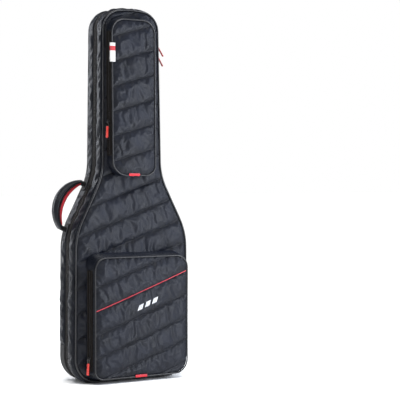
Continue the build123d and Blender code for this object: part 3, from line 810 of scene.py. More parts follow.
def inflate(piece: bpy.types.Object, held: Iterable[int], pressure: float, cap: float,
            slack: float = 0.02) -> None:
    """Fill a padded piece by a cloth simulation and keep its settled shape.

    Args:
        piece: Closed piece with no modifiers.
        held: Numbers of the points that seams or neighbours hold still.
        pressure: Pressure of the filling.
        cap: Farthest that a point may move, in metres.
        slack: Part by which the cloth is cut larger than the shape.
    """
    scene = bpy.context.scene
    group = piece.vertex_groups.new(name="sewn")
    group.add(list(held), 1.0, "REPLACE")
    modifier = piece.modifiers.new("Filling", "CLOTH")
    cloth = modifier.settings
    cloth.quality = 4
    cloth.mass = 0.2
    cloth.tension_stiffness = cloth.compression_stiffness = 22.0
    cloth.shear_stiffness = 8.0
    cloth.bending_stiffness = 0.35
    cloth.vertex_group_mass = "sewn"
    cloth.use_pressure = True
    cloth.uniform_pressure_force = pressure
    cloth.shrink_min = -slack
    cloth.effector_weights.gravity = 0.0
    modifier.collision_settings.use_collision = False
    modifier.point_cache.frame_start, modifier.point_cache.frame_end = 1, 20
    for moment in range(1, 21):
        scene.frame_set(moment)
    settled = piece.evaluated_get(bpy.context.evaluated_depsgraph_get()).data
    for vertex, moved in zip(piece.data.vertices, settled.vertices):
        step = moved.co - vertex.co
        vertex.co += step * min(1.0, cap / max(step.length, 1e-9))
    piece.modifiers.remove(modifier)
    piece.vertex_groups.remove(group)
    scene.frame_set(1)


def pillow(gap: float, half: float) -> float:
    """Height of a sewn channel, from 0 at its seam to 1 at its middle."""
    share = min(1.0, max(0.0, gap / half))
    return math.sin(math.pi / 2 * share) ** 0.6


def folds(x: float, z: float, seed: float) -> float:
    """Height of loose hanging folds, from about -0.3 to 1, at a place on a panel."""
    lean = x + 0.22 * z
    ridge = 1 - abs(noise.noise(Vector((lean * 17, z * 4.2, seed)))) * 5.0
    ridge2 = 1 - abs(noise.noise(Vector((lean * 34 + 7, z * 9.0, seed + 4)))) * 5.5
    where = noise.noise(Vector((x * 7, z * 7, seed + 9))) * 1.3 + 0.45
    return (max(0.0, ridge) + 0.5 * max(0.0, ridge2)) * min(1.0, max(0.0, where))


@dataclass
class Quilt:
    """Padded sheet that is sewn through along slanting seams."""

    name: str
    outline: Outline
    seams: list[tuple[float, float]]
    outward: int
    face: Callable[[float], float]
    thick: float
    crown: float
    sink: float
    finish: ClothFinish
    step: float = 7 * MM
    cap: float = 6 * MM
    pressure: float = 4.0
    seed: int = 1
    flat: Callable[[float, float], float] = lambda x, z: 1.0
    gathers: Sequence[float] = ()
    belly: float = 0.0
    fold: float = 1.6 * MM
    lines: list[list[int]] = field(default_factory=list)

    def seam_gap(self, x: float, z: float) -> float:
        """Distance to the nearest seam."""
        return min((abs(z - slope * x - height) / math.hypot(1, slope)
                    for slope, height in self.seams), default=1.0)

    def gathered(self, x: float, z: float) -> float:
        """Height of the short puckers that run up or down from a gathered line."""
        total = 0.0
        for line in self.gathers:
            gap = line - z
            if -0.4 < gap / (70 * MM) < 1:
                fade = math.exp(-max(0.0, gap) / (26 * MM)) if gap > 0 else math.exp(gap / (12 * MM))
                total += noise.noise(Vector((x * 62 + gap * 6, line * 40, self.seed))) * 4.2 * MM * fade
        return total

    def spots(self) -> tuple[list[Flat], int]:
        """Scatter the sheet's points.

        Returns:
            Points (x, z), the border's first, and the number of border points.
        """
        rng = random.Random(self.seed)
        border = [(p.x, p.z) for p in self.outline.stations(self.step)]
        points = list(border)
        inner = [(p.x, p.z) for p in self.outline.grown(-0.55 * self.step).stations(self.step)]
        row = 2.6 * MM
        self.lines = []
        for slope, height in self.seams:
            length = math.hypot(1, slope)
            for (xa, za), (xb, zb) in self.outline.spans(slope, height, 0.6 * self.step):
                count = max(2, round((xb - xa) * length / (0.75 * self.step)))
                line = []
                for k in range(count + 1):
                    x, z = xa + (xb - xa) * k / count, za + (zb - za) * k / count
                    line.append(len(points))
                    points.append((x, z))
                    for side in (-row, row):
                        points.append((x - side * slope / length, z + side / length))
                self.lines.append(line)
        low_x, high_x = min(x for x, _ in inner), max(x for x, _ in inner)
        low_z, high_z = min(z for _, z in inner), max(z for _, z in inner)
        edges = list(zip(inner, inner[1:] + inner[:1]))
        rise = self.step * math.sqrt(3) / 2
        for r in range(int((high_z - low_z) / rise) + 1):
            z = low_z + r * rise
            cuts = sorted(xa + (xb - xa) * (z - za) / (zb - za)
                          for (xa, za), (xb, zb) in edges if (za > z) != (zb > z))
            for left, right in zip(cuts[::2], cuts[1::2]):
                first = math.ceil((left - low_x) / self.step)
                for k in range(first, int((right - low_x) / self.step) + 1):
                    x = low_x + (k + 0.5 * (r % 2)) * self.step + rng.uniform(-0.2, 0.2) * self.step
                    zz = z + rng.uniform(-0.2, 0.2) * self.step
                    if left < x < right and self.seam_gap(x, zz) > row + 0.45 * self.step:
                        points.append((x, zz))
        return points, len(border)

    def build(self, place: Matrix | None = None) -> bpy.types.Object:
        """Make the sheet, fill it and round it off.

        Args:
            place: Matrix that carries it to its place, if it isn't there already.

        Returns:
            The padded piece.
        """
        spots, rim = self.spots()
        loop = list(range(rim))
        sheet = delaunay_2d_cdt([Vector(p) for p in spots], list(zip(loop, loop[1:] + loop[:1])),
                                [], 1, 1e-7)
        flats, faces = sheet[0], [tuple(f) for f in sheet[2]]
        home = {old: new for new, olds in enumerate(sheet[3]) for old in olds}
        half = 26 * MM
        draft, crest = Draft(), []
        border = self.outline.stations(4 * MM)
        for spot in flats:
            gap = self.seam_gap(spot.x, spot.y)
            edge = min(math.hypot(p.x - spot.x, p.z - spot.y) for p in border[::2])
            lift = min(pillow(gap - 1 * MM, half), pillow(edge, 1.1 * half))
            crest.append(lift)
            crease = noise.noise(Vector((spot.x * 75 + self.seed, spot.y * 22, 0))) * 0.9 * MM
            crease *= math.exp(-((gap - 11 * MM) / (9 * MM)) ** 2)
            swell = noise.noise(Vector((spot.x * 14, spot.y * 14, self.seed))) * 1.6 * MM * lift
            hang = folds(spot.x, spot.y, self.seed) * self.fold * (0.35 + 0.65 * lift)
            height = (lift * self.crown + crease + swell + hang) * self.flat(spot.x, spot.y) - self.sink
            height += self.gathered(spot.x, spot.y) * min(1.0, edge / (4 * MM))
            height += self.belly * pillow(edge, 120 * MM) ** 2
            draft.points.append(Vector((spot.x, self.face(spot.y) + self.outward * height, spot.y)))
            draft.cloth.append((spot.x, spot.y))
        draft.faces = list(faces)
        count = len(flats)
        ring = [home[k] for k in loop]
        for depth in (0.5, 1.0):
            for k in ring if depth == 0.5 else range(rim):
                top = draft.points[ring[k] if depth == 1.0 else k]
                spot = flats[ring[k]] if depth == 1.0 else flats[k]
                y = self.face(spot.y) - self.outward * self.thick * depth
                draft.points.append(Vector((top.x, y, top.z)))
                draft.cloth.append((spot.x, spot.y))
        middle, back = [count + k for k in range(rim)], [count + rim + k for k in range(rim)]
        for upper, lower in ((ring, middle), (middle, back)):
            for k in range(rim):
                j = (k + 1) % rim
                draft.faces.append((upper[k], upper[j], lower[j], lower[k]))
        lining = delaunay_2d_cdt([Vector(spots[k]) for k in loop],
                                 list(zip(loop, loop[1:] + loop[:1])), [], 1, 1e-7)
        draft.faces += [tuple(back[lining[3][i][0]] for i in face) for face in lining[2]]
        piece = draft.piece(self.name, self.finish)
        held = set(ring) | set(middle) | set(back)
        held |= {home[k] for line in self.lines for k in line}
        inflate(piece, held, self.pressure, self.cap)
        layer = piece.data.attributes.new("crest", "FLOAT", "POINT")
        layer.data.foreach_set("value", crest + [0.0] * (2 * rim))
        self.lines = [[home[k] for k in line] for line in self.lines]
        if place is not None:
            piece.data.transform(place)
        softened(piece)
        return piece

    @staticmethod
    def surface(piece: bpy.types.Object) -> Callable[[float, float], float]:
        """Look-up of a built front sheet's depth at (x, z)."""
        mesh = piece.data
        tree = BVHTree.FromPolygons([v.co for v in mesh.vertices],
                                    [tuple(f.vertices) for f in mesh.polygons])

        def depth(x: float, z: float) -> float:
            """Depth of the foremost cloth at (x, z)."""
            return tree.ray_cast(Vector((x, -1, z)), REARWARD)[0].y
        return depth

    def stitches(self, piece: bpy.types.Object, name: str, style: Beads = SEAM_STITCH,
                 turn: Matrix | None = None) -> bpy.types.Object:
        """Stitches along the seams of the built sheet.

        Args:
            piece: The built sheet.
            name: Piece name of the stitches.
            style: The stitch.
            turn: Matrix that the sheet was placed with.

        Returns:
            The stitches as one piece.
        """
        out = Vector((0, self.outward, 0))
        if turn is not None:
            out = turn.to_3x3() @ out
        runs = [[(piece.data.vertices[k].co + out * 0.1 * MM, out) for k in line]
                for line in self.lines]
        return style.along(name, [run for run in runs if len(run) > 2])


@dataclass
class RingWall:
    """Padded side wall that follows the bag's outline all the way round."""

    name: str
    front: Callable[[float], float]
    back: Callable[[float], float]
    tuck_front: float
    tuck_back: float
    bulge: float
    finish: ClothFinish
    step: float = 8 * MM
    rows: int = 9
    guarded: Callable[[Vector], float] = lambda spot: 1.0

    def build(self) -> bpy.types.Object:
        """Make the wall, fill it and round it off.

        Returns:
            The padded piece.
        """
        draft, rings, outer = Draft(), [], []
        for p in BAG.stations(self.step):
            y0, y1 = self.front(p.z), self.back(p.z)
            ring = []
            for k in range(self.rows + 1):
                t = k / self.rows
                low = min(1.0, max(0.0, (0.48 - p.z) / 0.2)) * min(1.0, max(0.0, p.z - 0.01) / 0.05)
                swell = math.sin(math.pi * t) ** 0.6 * (self.bulge + low * 5.0 * MM)
                ripple = noise.noise(Vector((p.s * 22, t * 1.5 - p.s * 9, 3.0))) * 2.6 * MM
                ripple += noise.noise(Vector((p.s * 60, t * 2.5, 8.0))) * 1.2 * MM
                free = self.guarded(p.at(WALL, y0 + (y1 - y0) * t))
                lift = (swell + ripple * math.sin(math.pi * t)) * free - (1 - free) * 0.8 * MM
                offset = WALL - 0.5 * MM + lift
                if k == 0:
                    offset = WALL - self.tuck_front
                if k == self.rows:
                    offset = WALL - self.tuck_back
                spot = p.at(offset, y0 + (y1 - y0) * t)
                spot.z = max(spot.z, 0.4 * MM)
                ring.append(spot)
            inner_front = y0 + (PADDING - LAP if self.tuck_front > 2 * MM else 0)
            inner_back = y1 - (PADDING - LAP if self.tuck_back > 2 * MM else 0)
            ring += [p.at(-WALL, inner_back), p.at(-WALL, (inner_back + inner_front) / 2),
                     p.at(-WALL, inner_front)]
            rings.append(ring)
            outer.append([self.guarded(point) > 0.5 for point in ring])
        grid = draft.loft(rings, closed=True)
        piece = draft.piece(self.name, self.finish)
        held = [grid[r][k] for r in range(len(grid)) for k in range(len(grid[r]))
                if not (0 < k < self.rows and outer[r][k])]
        inflate(piece, held, 3.0, 3 * MM, slack=0.03)
        for vertex in piece.data.vertices:
            vertex.co.z = max(vertex.co.z, 0.3 * MM)
        softened(piece)
        return piece


def round_section(radius: float, count: int = 8) -> list[Flat]:
    """Section of a round cord."""
    return [(radius * math.cos(2 * math.pi * k / count), radius * math.sin(2 * math.pi * k / count))
            for k in range(count)]


def corded(name: str, loop: Sequence[tuple[Vector, Vector, Vector]], radius: float,
           finish: SolidFinish) -> bpy.types.Object:
    """Piping round a closed loop.

    Args:
        name: Piece name.
        loop: Centre, outward and forward direction at each point of the loop.
        radius: Radius of the cord.
        finish: Finish of the cord.

    Returns:
        The piping.
    """
    rings = []
    for index, (centre, out, ahead) in enumerate(loop):
        plump = radius * (1 + 0.05 * noise.noise(Vector((index * 0.35, 0, 0))))
        ring = [centre + out * a * plump / radius + ahead * o * plump / radius
                for a, o in round_section(radius, 10)]
        rings.append(ring)
    draft = Draft()
    draft.loft(rings, closed=True)
    return softened(draft.piece(name, finish))


@dataclass
class Shell:
    """The bag's two padded halves: panels, walls, piping, lining and the main zip."""

    crown: float = 7 * MM
    sink: float = 4.5 * MM
    slope: float = 0.36
    pitch: float = 84 * MM
    front_start: float = -0.036
    back_pitch: float = 76 * MM
    tape_lift: float = 6.9 * MM

    def panels(self) -> None:
        """Quilted front and back panels."""
        region = BAG.grown(-0.5 * MM)
        heights = [self.front_start + k * self.pitch for k in range(18)]
        front = Quilt("front_quilt", region, [(self.slope, h) for h in heights], -1, lid_face,
                      PADDING - 1 * MM, self.crown, self.sink, SHELL, seed=3, flat=self.front_room,
                      gathers=(0.447, 0.69), fold=2.2 * MM)
        piece = front.build()
        fixed(piece, "lid", "front_panel")
        fixed(front.stitches(piece, "front_quilt_stitches"), "lid")
        heights = [-0.02 + k * self.back_pitch for k in range(19)]
        back = Quilt("back_quilt", region, [(-0.40, h) for h in heights], 1, lambda z: BACK_Y,
                     PADDING - 1 * MM, self.crown - 1 * MM, self.sink, SHELL, seed=5,
                     flat=self.back_room, cap=4 * MM)
        piece = back.build()
        fixed(piece, "root", "back_panel")
        fixed(back.stitches(piece, "back_quilt_stitches"), "root")

    @staticmethod
    def front_room(x: float, z: float) -> float:
        """Part of its full height that the front quilt reaches at a place."""
        in_pocket = -0.150 < x < 0.180 and 0.025 < z < 0.410
        in_head = -0.078 < x < 0.068 and 0.693 < z < 1.193
        return 0.35 if in_pocket or in_head else 1.0

    @staticmethod
    def back_room(x: float, z: float) -> float:
        """Part of its full height that the back quilt reaches at a place."""
        under_band = abs(z - 0.7115) < 0.030 and abs(x) < 0.105
        under_loop = abs(x) < 0.046 and 0.72 < z < 0.835
        under_strap = 0.235 < z < 0.72 and 0.016 < abs(x) < 0.155
        under_web = z < 0.25 and (0.098 < x < 0.158 or -0.190 < x < -0.110)
        return 0.30 if under_band or under_loop or under_strap or under_web else 1.0

    @staticmethod
    def guarded(spot: Vector) -> float:
        """How freely the rear wall swells: 0 under the guards and the handle's patches."""
        near_guard = abs(spot.x) > 0.106 and spot.z < 0.128
        along_wall = (0.684 - spot.z) * WALL_DROP + (-0.104 - spot.x) * WALL_RUN
        near_patch = spot.x < -0.09 and (0.012 < along_wall < 0.082 or 0.166 < along_wall < 0.236)
        return 0.0 if near_guard or near_patch else 1.0

    def walls(self) -> None:
        """Padded side walls of both halves."""
        lid_wall = RingWall("lid_wall", lambda z: lid_face(z) + LAP - 1 * MM, lambda z: -BAND,
                            3.2 * MM, 0.6 * MM, 3.5 * MM, WALL_CLOTH)
        fixed(lid_wall.build(), "lid", "lid_gusset")
        rear_wall = RingWall("rear_wall", lambda z: BAND, lambda z: BACK_Y - LAP + 1 * MM,
                             0.6 * MM, 3.2 * MM, 3.0 * MM, WALL_CLOTH, guarded=self.guarded)
        fixed(rear_wall.build(), "root", "rear_gusset")

    def piping(self) -> None:
        """Corded edges of both panels."""
        for name, node, body, sign in (("front_cord", "front_piping", "lid", -1),
                                       ("back_cord", "back_piping", "root", 1)):
            loop = []
            for p in BAG.stations(6 * MM):
                face = lid_face(p.z) if sign < 0 else BACK_Y
                centre = p.at(2.9 * MM, face - sign * 1.6 * MM)
                loop.append((centre, Vector((p.nx, 0, p.nz)), Vector((0, sign, 0))))
            cord = corded(name, loop, 3.0 * MM, PIPING)
            fixed(cord, body, node)
            sewn = []
            for p in BAG.stations(8 * MM):
                face = (lid_face(p.z) if sign < 0 else BACK_Y) - sign * 10.5 * MM
                sewn.append((p.at(WALL + 0.9 * MM, face), Vector((p.nx, 0, p.nz))))
            fixed(SEAM_STITCH.along(name + "_stitches", [sewn + sewn[:1]]), body)

    @staticmethod
    def tape_run() -> list[Station]:
        """Stretch of the outline that the main zip follows, from hinge end to hinge end."""
        stations = BAG.stations(5 * MM)
        first = next(k for k, p in enumerate(stations) if p.x > HINGE_SIDE_X and p.z > HINGE_Z[1])
        turned = stations[first:] + stations[:first]
        return [p for p in turned if not (p.x > HINGE_SIDE_X and HINGE_Z[0] < p.z < HINGE_Z[1])]

    def zip(self) -> None:
        """Zip tapes, their coils and their stitches."""
        for name, node, body, low, high, teeth_y, sew_y in (
                ("lid_tape", "lid_zip_tape", "lid", -15.0, -0.7, -2.4, -11.5),
                ("rear_tape", "rear_zip_tape", "root", 0.2, 15.0, 1.8, 11.5)):
            run = self.tape_run()
            rings = []
            for p in run:
                wave = noise.noise(Vector((p.s * 18, low, 0))) * 0.4 * MM
                top, bottom = self.tape_lift + wave, 5.2 * MM
                rows = [low + (high - low) * k / 5 for k in range(6)]
                ring = [p.at(top + (0.5 * MM if k in (2, 3) else 0), y * MM)
                        for k, y in enumerate(rows)]
                ring += [p.at(bottom, high * MM), p.at(bottom, low * MM)]
                rings.append(ring)
            draft = tubed(rings)
            fixed(draft.piece(name, TAPE), body, node)
            coil = [(p.at(self.tape_lift + 0.5 * MM, teeth_y * MM), Vector((p.nx, 0, p.nz)))
                    for p in run]
            fixed(COIL_TEETH.along(name + "_coil", [coil]), body)
            sewn = [(p.at(self.tape_lift + 0.2 * MM, sew_y * MM), Vector((p.nx, 0, p.nz)))
                    for p in run]
            fixed(SEAM_STITCH.along(name + "_stitches", [sewn]), body)

    def hinge(self) -> None:
        """Strip of shell cloth where the zip stops."""
        run = [p for p in BAG.stations(5 * MM) if p.x > HINGE_SIDE_X
               and HINGE_Z[0] + 1 * MM < p.z < HINGE_Z[1] - 1 * MM]
        rings, length = [], run[-1].s - run[0].s
        for p in run:
            rows = [-14.4 + 29.3 * k / 8 for k in range(9)]
            ring = [p.at(7.4 * MM - 0.8 * MM * math.cos(k * math.pi / 4), y * MM)
                    for k, y in enumerate(rows)]
            ring += [p.at(5.2 * MM, rows[-1] * MM), p.at(5.2 * MM, rows[0] * MM)]
            rings.append(ring)
        draft = tubed(rings)
        strip = draft.piece("hinge_strip", SHELL)
        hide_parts("hinge_cloth")
        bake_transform(strip)

    def linings(self) -> None:
        """Plush lining of both halves."""
        for name, node, body, sign in (("front_plush", "front_lining", "lid", -1),
                                       ("back_plush", "back_lining", "root", 1)):
            draft, rings = Draft(), []
            inner = BAG.grown(-WALL - 0.1 * MM)
            for p in inner.stations(8 * MM):
                face = (lid_face(p.z) if sign < 0 else BACK_Y) - sign * (PADDING + 0.2 * MM)
                floor = face - sign * 1.3 * MM
                ring = [p.at(0, sign * BAND), p.at(0, (sign * BAND + face) / 2), p.at(0, face)]
                ring += [p.at(-1.4 * MM, floor), p.at(-1.4 * MM, (sign * BAND + face) / 2),
                         p.at(-1.4 * MM, sign * BAND)]
                rings.append(ring)
            draft.loft(rings, closed=True)
            wall = draft.piece(name + "_wall", PLUSH)
            fixed(wall, body, node)
            floor = Quilt(name, inner.grown(-1.5 * MM), [], -sign,
                          (lambda z: lid_face(z) + PADDING + 1.7 * MM) if sign < 0
                          else (lambda z: BACK_Y - PADDING - 1.7 * MM),
                          1.3 * MM, 1.2 * MM, 0.0, PLUSH, step=16 * MM, cap=1 * MM, seed=9)
            fixed(floor.build(), body)

    def build(self) -> None:
        """Make all of the shell."""
        self.panels()
        self.walls()
        self.piping()
        self.zip()
        self.hinge()
        self.linings()


# ---- pockets ----

@dataclass
class Pocket:
    """Raised zipped pocket on the lid, its sizes in metres."""

    name: str
    left: float
    right: float
    low: float
    high: float
    proud: float
    radii: tuple[float, float, float, float]
    slopes: tuple[float, float, float, float]
    seams: list[tuple[float, float]]
    zip_span: Flat
    place: Matrix
    seed: int
    pad: float = 7 * MM
    belly: float = 5 * MM

    def outline(self, foot: float = 0.0, grow: float = 0.0) -> Outline:
        """Rounded outline.

        Args:
            foot: 0 at the pocket's face and 1 at its foot.
            grow: Distance to move the outline outwards.

        Returns:
            The outline.
        """
        wide_l, wide_r, deep, tall = (value * foot for value in self.slopes)
        left, right = self.left - wide_l - grow, self.right + wide_r + grow
        low, high = self.low - deep - grow, self.high + tall + grow
        spots = [(left, low), (right, low), (right, high), (left, high)]
        return Outline(tuple((x, z, r + grow) for (x, z), r in zip(spots, self.radii)))

    def loops(self, foot: float, grow: float, per_side: int = 16) -> list[Flat]:
        """Outline points that match between outlines of the pocket.

        Args:
            foot: 0 at the face and 1 at the foot.
            grow: Distance to move the outline outwards.
            per_side: Points on each side.

        Returns:
            Points (x, z) in the same order for each outline.
        """
        shape = self.outline(foot, grow).corners
        points = []
        for index, (x, z, radius) in enumerate(shape):
            x0, z0, _ = shape[index - 1]
            x1, z1, r1 = shape[(index + 1) % 4]
            here = Vector((x, z))
            before, after = (here - Vector((x0, z0))).normalized(), (Vector((x1, z1)) - here).normalized()
            centre = here - before * radius + after * radius
            for k in range(9):
                angle = math.pi / 2 * k / 9
                out = -after * math.cos(angle) + before * math.sin(angle)
                points.append(centre + out * radius)
            start, end = here + after * radius, Vector((x1, z1)) - after * r1
            points += [start.lerp(end, k / per_side) for k in range(per_side)]
        return [(p.x, p.y) for p in points]

    @property
    def rim_y(self) -> float:
        """Depth of the rim, where the wall meets the face."""
        return LID_Y - self.proud + self.pad

    def wall(self) -> None:
        """Sloping wall of shell cloth."""
        rows = 7
        outer = [self.loops(1 - k / rows, 0.0) for k in range(rows + 1)]
        inner = [self.loops(1 - k / rows, -3 * MM) for k in range(rows + 1)]
        draft, rings, s = Draft(), [], 0.0
        count = len(outer[0])
        for i in range(count):
            x0, z0 = outer[0][i - 1]
            x1, z1 = outer[0][i]
            s += math.hypot(x1 - x0, z1 - z0)
            bx, bz = outer[0][(i + 1) % count]
            normal = Vector((bz - z0, -(bx - x0))).normalized()
            ring = []
            for k in range(rows + 1):
                t = k / rows
                x, z = outer[k][i]
                swell = math.sin(math.pi * t) ** 0.7 * 1.6 * MM
                swell += noise.noise(Vector((s * 45, t * 2, self.seed))) * 1.6 * MM * math.sin(math.pi * t)
                if x < self.left + 2 * MM and self.zip_span[0] < z < self.zip_span[1]:
                    swell = min(swell, 0.0) - 0.4 * MM * math.sin(math.pi * t)
                y = LID_Y + 5 * MM + (self.rim_y - LID_Y - 6 * MM) * t
                ring.append(Vector((x + normal.x * swell, y, z + normal.y * swell)))
            ring += [Vector((inner[k][i][0], ring[k].y, inner[k][i][1])) for k in (rows, rows // 2, 0)]
            rings.append(ring)
        draft.loft(rings, closed=True)
        piece = softened(draft.moved(self.place).piece(self.name + "_wall", WALL_CLOTH))
        fixed(piece, "lid", self.name + "_gusset")

    def face(self) -> Callable[[float, float], float]:
        """Quilted face with its seams and stitches; returns its depth at (x, z)."""
        outer_y = LID_Y - self.proud
        quilt = Quilt(self.name + "_quilt", self.outline(0, -2.4 * MM), self.seams, -1,
                      lambda z: outer_y, self.pad - 1 * MM, 6.5 * MM, 4.0 * MM, SHELL, step=6 * MM,
                      seed=self.seed, cap=5 * MM, belly=self.belly,
                      gathers=(self.high - 4 * MM,))
        piece = quilt.build(self.place)
        fixed(piece, "lid", self.name + "_face")
        fixed(quilt.stitches(piece, self.name + "_stitches", turn=self.place), "lid")
        return quilt.surface(piece)

    def piping(self) -> None:
        """Corded edge of the face."""
        turn = self.place.to_3x3()
        loop = []
        for p in self.outline().stations(5 * MM):
            centre = self.place @ Vector((p.x, LID_Y - self.proud + 1.2 * MM, p.z))
            loop.append((centre, turn @ Vector((p.nx, 0, p.nz)), turn @ FORWARD))
        fixed(corded(self.name + "_cord", loop, 2.6 * MM, PIPING), "lid", self.name + "_piping")

    def zip(self) -> None:
        """Zip on the sloping left wall: tape, coil and stitches."""
        rise = self.proud - self.pad
        slope = self.slopes[0]
        lean = math.pi + math.atan2(slope, rise)
        centre = Vector((self.left - slope / 2, LID_Y - rise / 2, 0))
        out = Vector((math.cos(lean), math.sin(lean), 0))
        across = Vector((-math.sin(lean), math.cos(lean), 0))
        low, high = self.zip_span
        width = min(25 * MM, math.hypot(rise, slope) - 2 * MM)
        steps = max(2, int((high - low) / (5 * MM)))
        draft, rings = Draft(), []
        lines: dict[float, Run] = {-0.36: [], 0.0: [], 0.36: []}
        for k in range(steps + 1):
            z = low + (high - low) * k / steps
            sway = noise.noise(Vector((z * 30, self.seed, 0))) * 0.35 * MM
            middle = centre + Vector((0, 0, z))
            ring = [middle + across * (width * a) + out * (h * MM + sway)
                    for a, h in ((-0.5, 0.9), (-0.25, 1.1), (-0.09, 1.25), (0.09, 1.25), (0.25, 1.1),
                                 (0.5, 0.9), (0.5, 0.0), (-0.5, 0.0))]
            rings.append(ring)
            for share, line in lines.items():
                lift = 1.35 * MM if share == 0.0 else 1.0 * MM
                spot = self.place @ (middle + across * width * share + out * (lift + sway))
                line.append((spot, self.place.to_3x3() @ out))
        draft.tube(rings)
        tape = draft.moved(self.place).piece(self.name + "_tape", TAPE)
        fixed(tape, "lid", self.name + "_zip")
        coil = Beads(2.0 * MM, 1.5 * MM, 4.6 * MM, 1.0 * MM, COIL)
        fixed(coil.along(self.name + "_coil", [lines[0.0][1:-1]]), "lid")
        fixed(SEAM_STITCH.along(self.name + "_zip_stitches", [lines[-0.36], lines[0.36]]), "lid")

    def tab(self, centre_x: float, width: float) -> None:
        """Folded red tab sewn into the lower piping.

        Args:
            centre_x: Middle of the tab.
            width: Width of the tab.
        """
        front = LID_Y - self.proud - 1.5 * MM
        foot = self.low - 2.5 * MM
        profile = [(0.0, 9.6), (-1.0, 9.2), (-1.45, 5.0), (-1.3, 1.2), (-0.7, 0.2), (0.0, 0.3), (-0.1, 5.0)]
        rings = []
        for k in range(11):
            x = centre_x + width * (k / 10 - 0.5)
            dip = 0.5 * MM * math.cos(k * 1.1) * (k / 10)
            rings.append([Vector((x, front + y * MM, foot + z * MM + dip * (1 - z / 10)))
                          for y, z in profile])
        draft = tubed(rings)
        piece = softened(draft.moved(self.place).piece(self.name + "_red_tab", RED_CLOTH))
        fixed(piece, "lid", self.name + "_tab")
        line = [(self.place @ Vector((centre_x + width * (k / 8 - 0.5) * 0.92, front - 1.5 * MM,
                                      foot + 7.6 * MM)), FORWARD) for k in range(9)]
        fixed(PALE_STITCH.along(self.name + "_tab_stitches", [line]), "lid")

    def build(self, tab: Flat) -> Callable[[float, float], float]:
        """Make all of the pocket.

        Args:
            tab: Middle and width of its red tab.

        Returns:
            Look-up of its face's depth at (x, z).
        """
        self.wall()
        depth = self.face()
        self.piping()
        self.zip()
        self.tab(*tab)
        return depth


@dataclass
class PocketTrim:
    """Small sewn parts on the pockets: label, red cord and stitched mark."""

    label: tuple[float, float, float, float] = (-0.094, -0.074, 1.058, 1.120)
    cord_heights: Flat = (0.241, 0.363)
    mark: tuple[Flat, ...] = ((0.0, 0.0), (0.018, 0.007), (0.024, 0.025), (0.006, 0.018))

    def flag(self, place: Matrix) -> None:
        """Folded label over the head pocket's left piping."""
        left, right, low, high = self.label
        front = LID_Y - 30 * MM - 1.5 * MM
        rings = []
        for k in range(13):
            z = low + (high - low) * k / 12
            curl = 0.25 * MM * math.sin(k * 0.9)
            rings.append([Vector((left + (right - left) * a, front + (y * MM) + curl, z))
                          for a, y in ((0.02, -0.6), (0.0, -0.2), (0.0, 0.0), (1.0, 0.0), (1.0, -0.3),
                                       (0.97, -0.9), (0.75, -1.4), (0.45, -1.5), (0.2, -1.2))])
        draft = tubed(rings)
        bar = (low + 0.60 * (high - low), low + 0.82 * (high - low))
        tag = draft.moved(place).piece("head_label", LABEL, LABEL_BAR,
                                       choose=lambda c: 1 if bar[0] < c.z < bar[1] else 0)
        fixed(tag, "lid", "head_flag_label")
        edge = [(place @ Vector((x, front - 1.3 * MM, z)), FORWARD)
                for x, z in ((left + 3 * MM, low + 3 * MM), (left + 3 * MM, high - 3 * MM))]
        fixed(PALE_STITCH.along("head_label_stitches", [edge]), "lid")

    def red_cord(self, pocket: Pocket, depth: Callable[[float, float], float]) -> None:
        """Thin red cord sewn into one seam of the accessory pocket.

        Args:
            pocket: The pocket that it is sewn on.
            depth: Depth of the pocket's cloth at (x, z).
        """
        left, right = pocket.left + 3.5 * MM, pocket.right - 3.5 * MM
        points = []
        for k in range(65):
            t = k / 64
            rise = self.cord_heights[0] + (self.cord_heights[1] - self.cord_heights[0]) * t
            sway = 0.5 * MM * noise.noise(Vector((t * 20, 0, 0)))
            x = left + (right - left) * t
            points.append(Vector((x, depth(x, rise) - 0.6 * MM, rise + sway)))
        draft = tubed(swept(along(points, FORWARD, 6 * MM), round_section(1.75 * MM)))
        fixed(softened(draft.piece("red_cord", RED_PIPING)), "lid", "accent_piping")

    def bars(self, depth: Callable[[float, float], float]) -> None:
        """Plain stitched mark of three rising bars, each filled with close stitches.

        Args:
            depth: Depth of the pocket's cloth at (x, z).
        """
        runs = []
        for index in range(3):
            ax, az = (-9 + 27 * index) * MM, (237 + 10 * index) * MM
            a, b, c, d = (Vector((ax + x, 0, az + z)) for x, z in self.mark)
            ground = [a.lerp(d, i / 4).lerp(b.lerp(c, i / 4), j / 4) for i in range(5) for j in range(5)]
            front = min(depth(spot.x, spot.z) for spot in ground) + 1.0 * MM
            for k in range(20):
                t = (k + 0.5) / 20
                left, right = a.lerp(d, t), b.lerp(c, t)
                run = [left.lerp(right, share) for share in (0.17, 0.83)]
                for spot in run:
                    spot.y = min(front, depth(spot.x, spot.z)) - 1.0 * MM
                runs.append([(spot, FORWARD) for spot in run])
        satin = Beads(6.2 * MM, 6.6 * MM, 1.35 * MM, 0.9 * MM, EMBROIDERY)
        fixed(satin.along("stitched_mark", runs), "lid", "embroidered_mark")


# ---- zip sliders and pulls ----

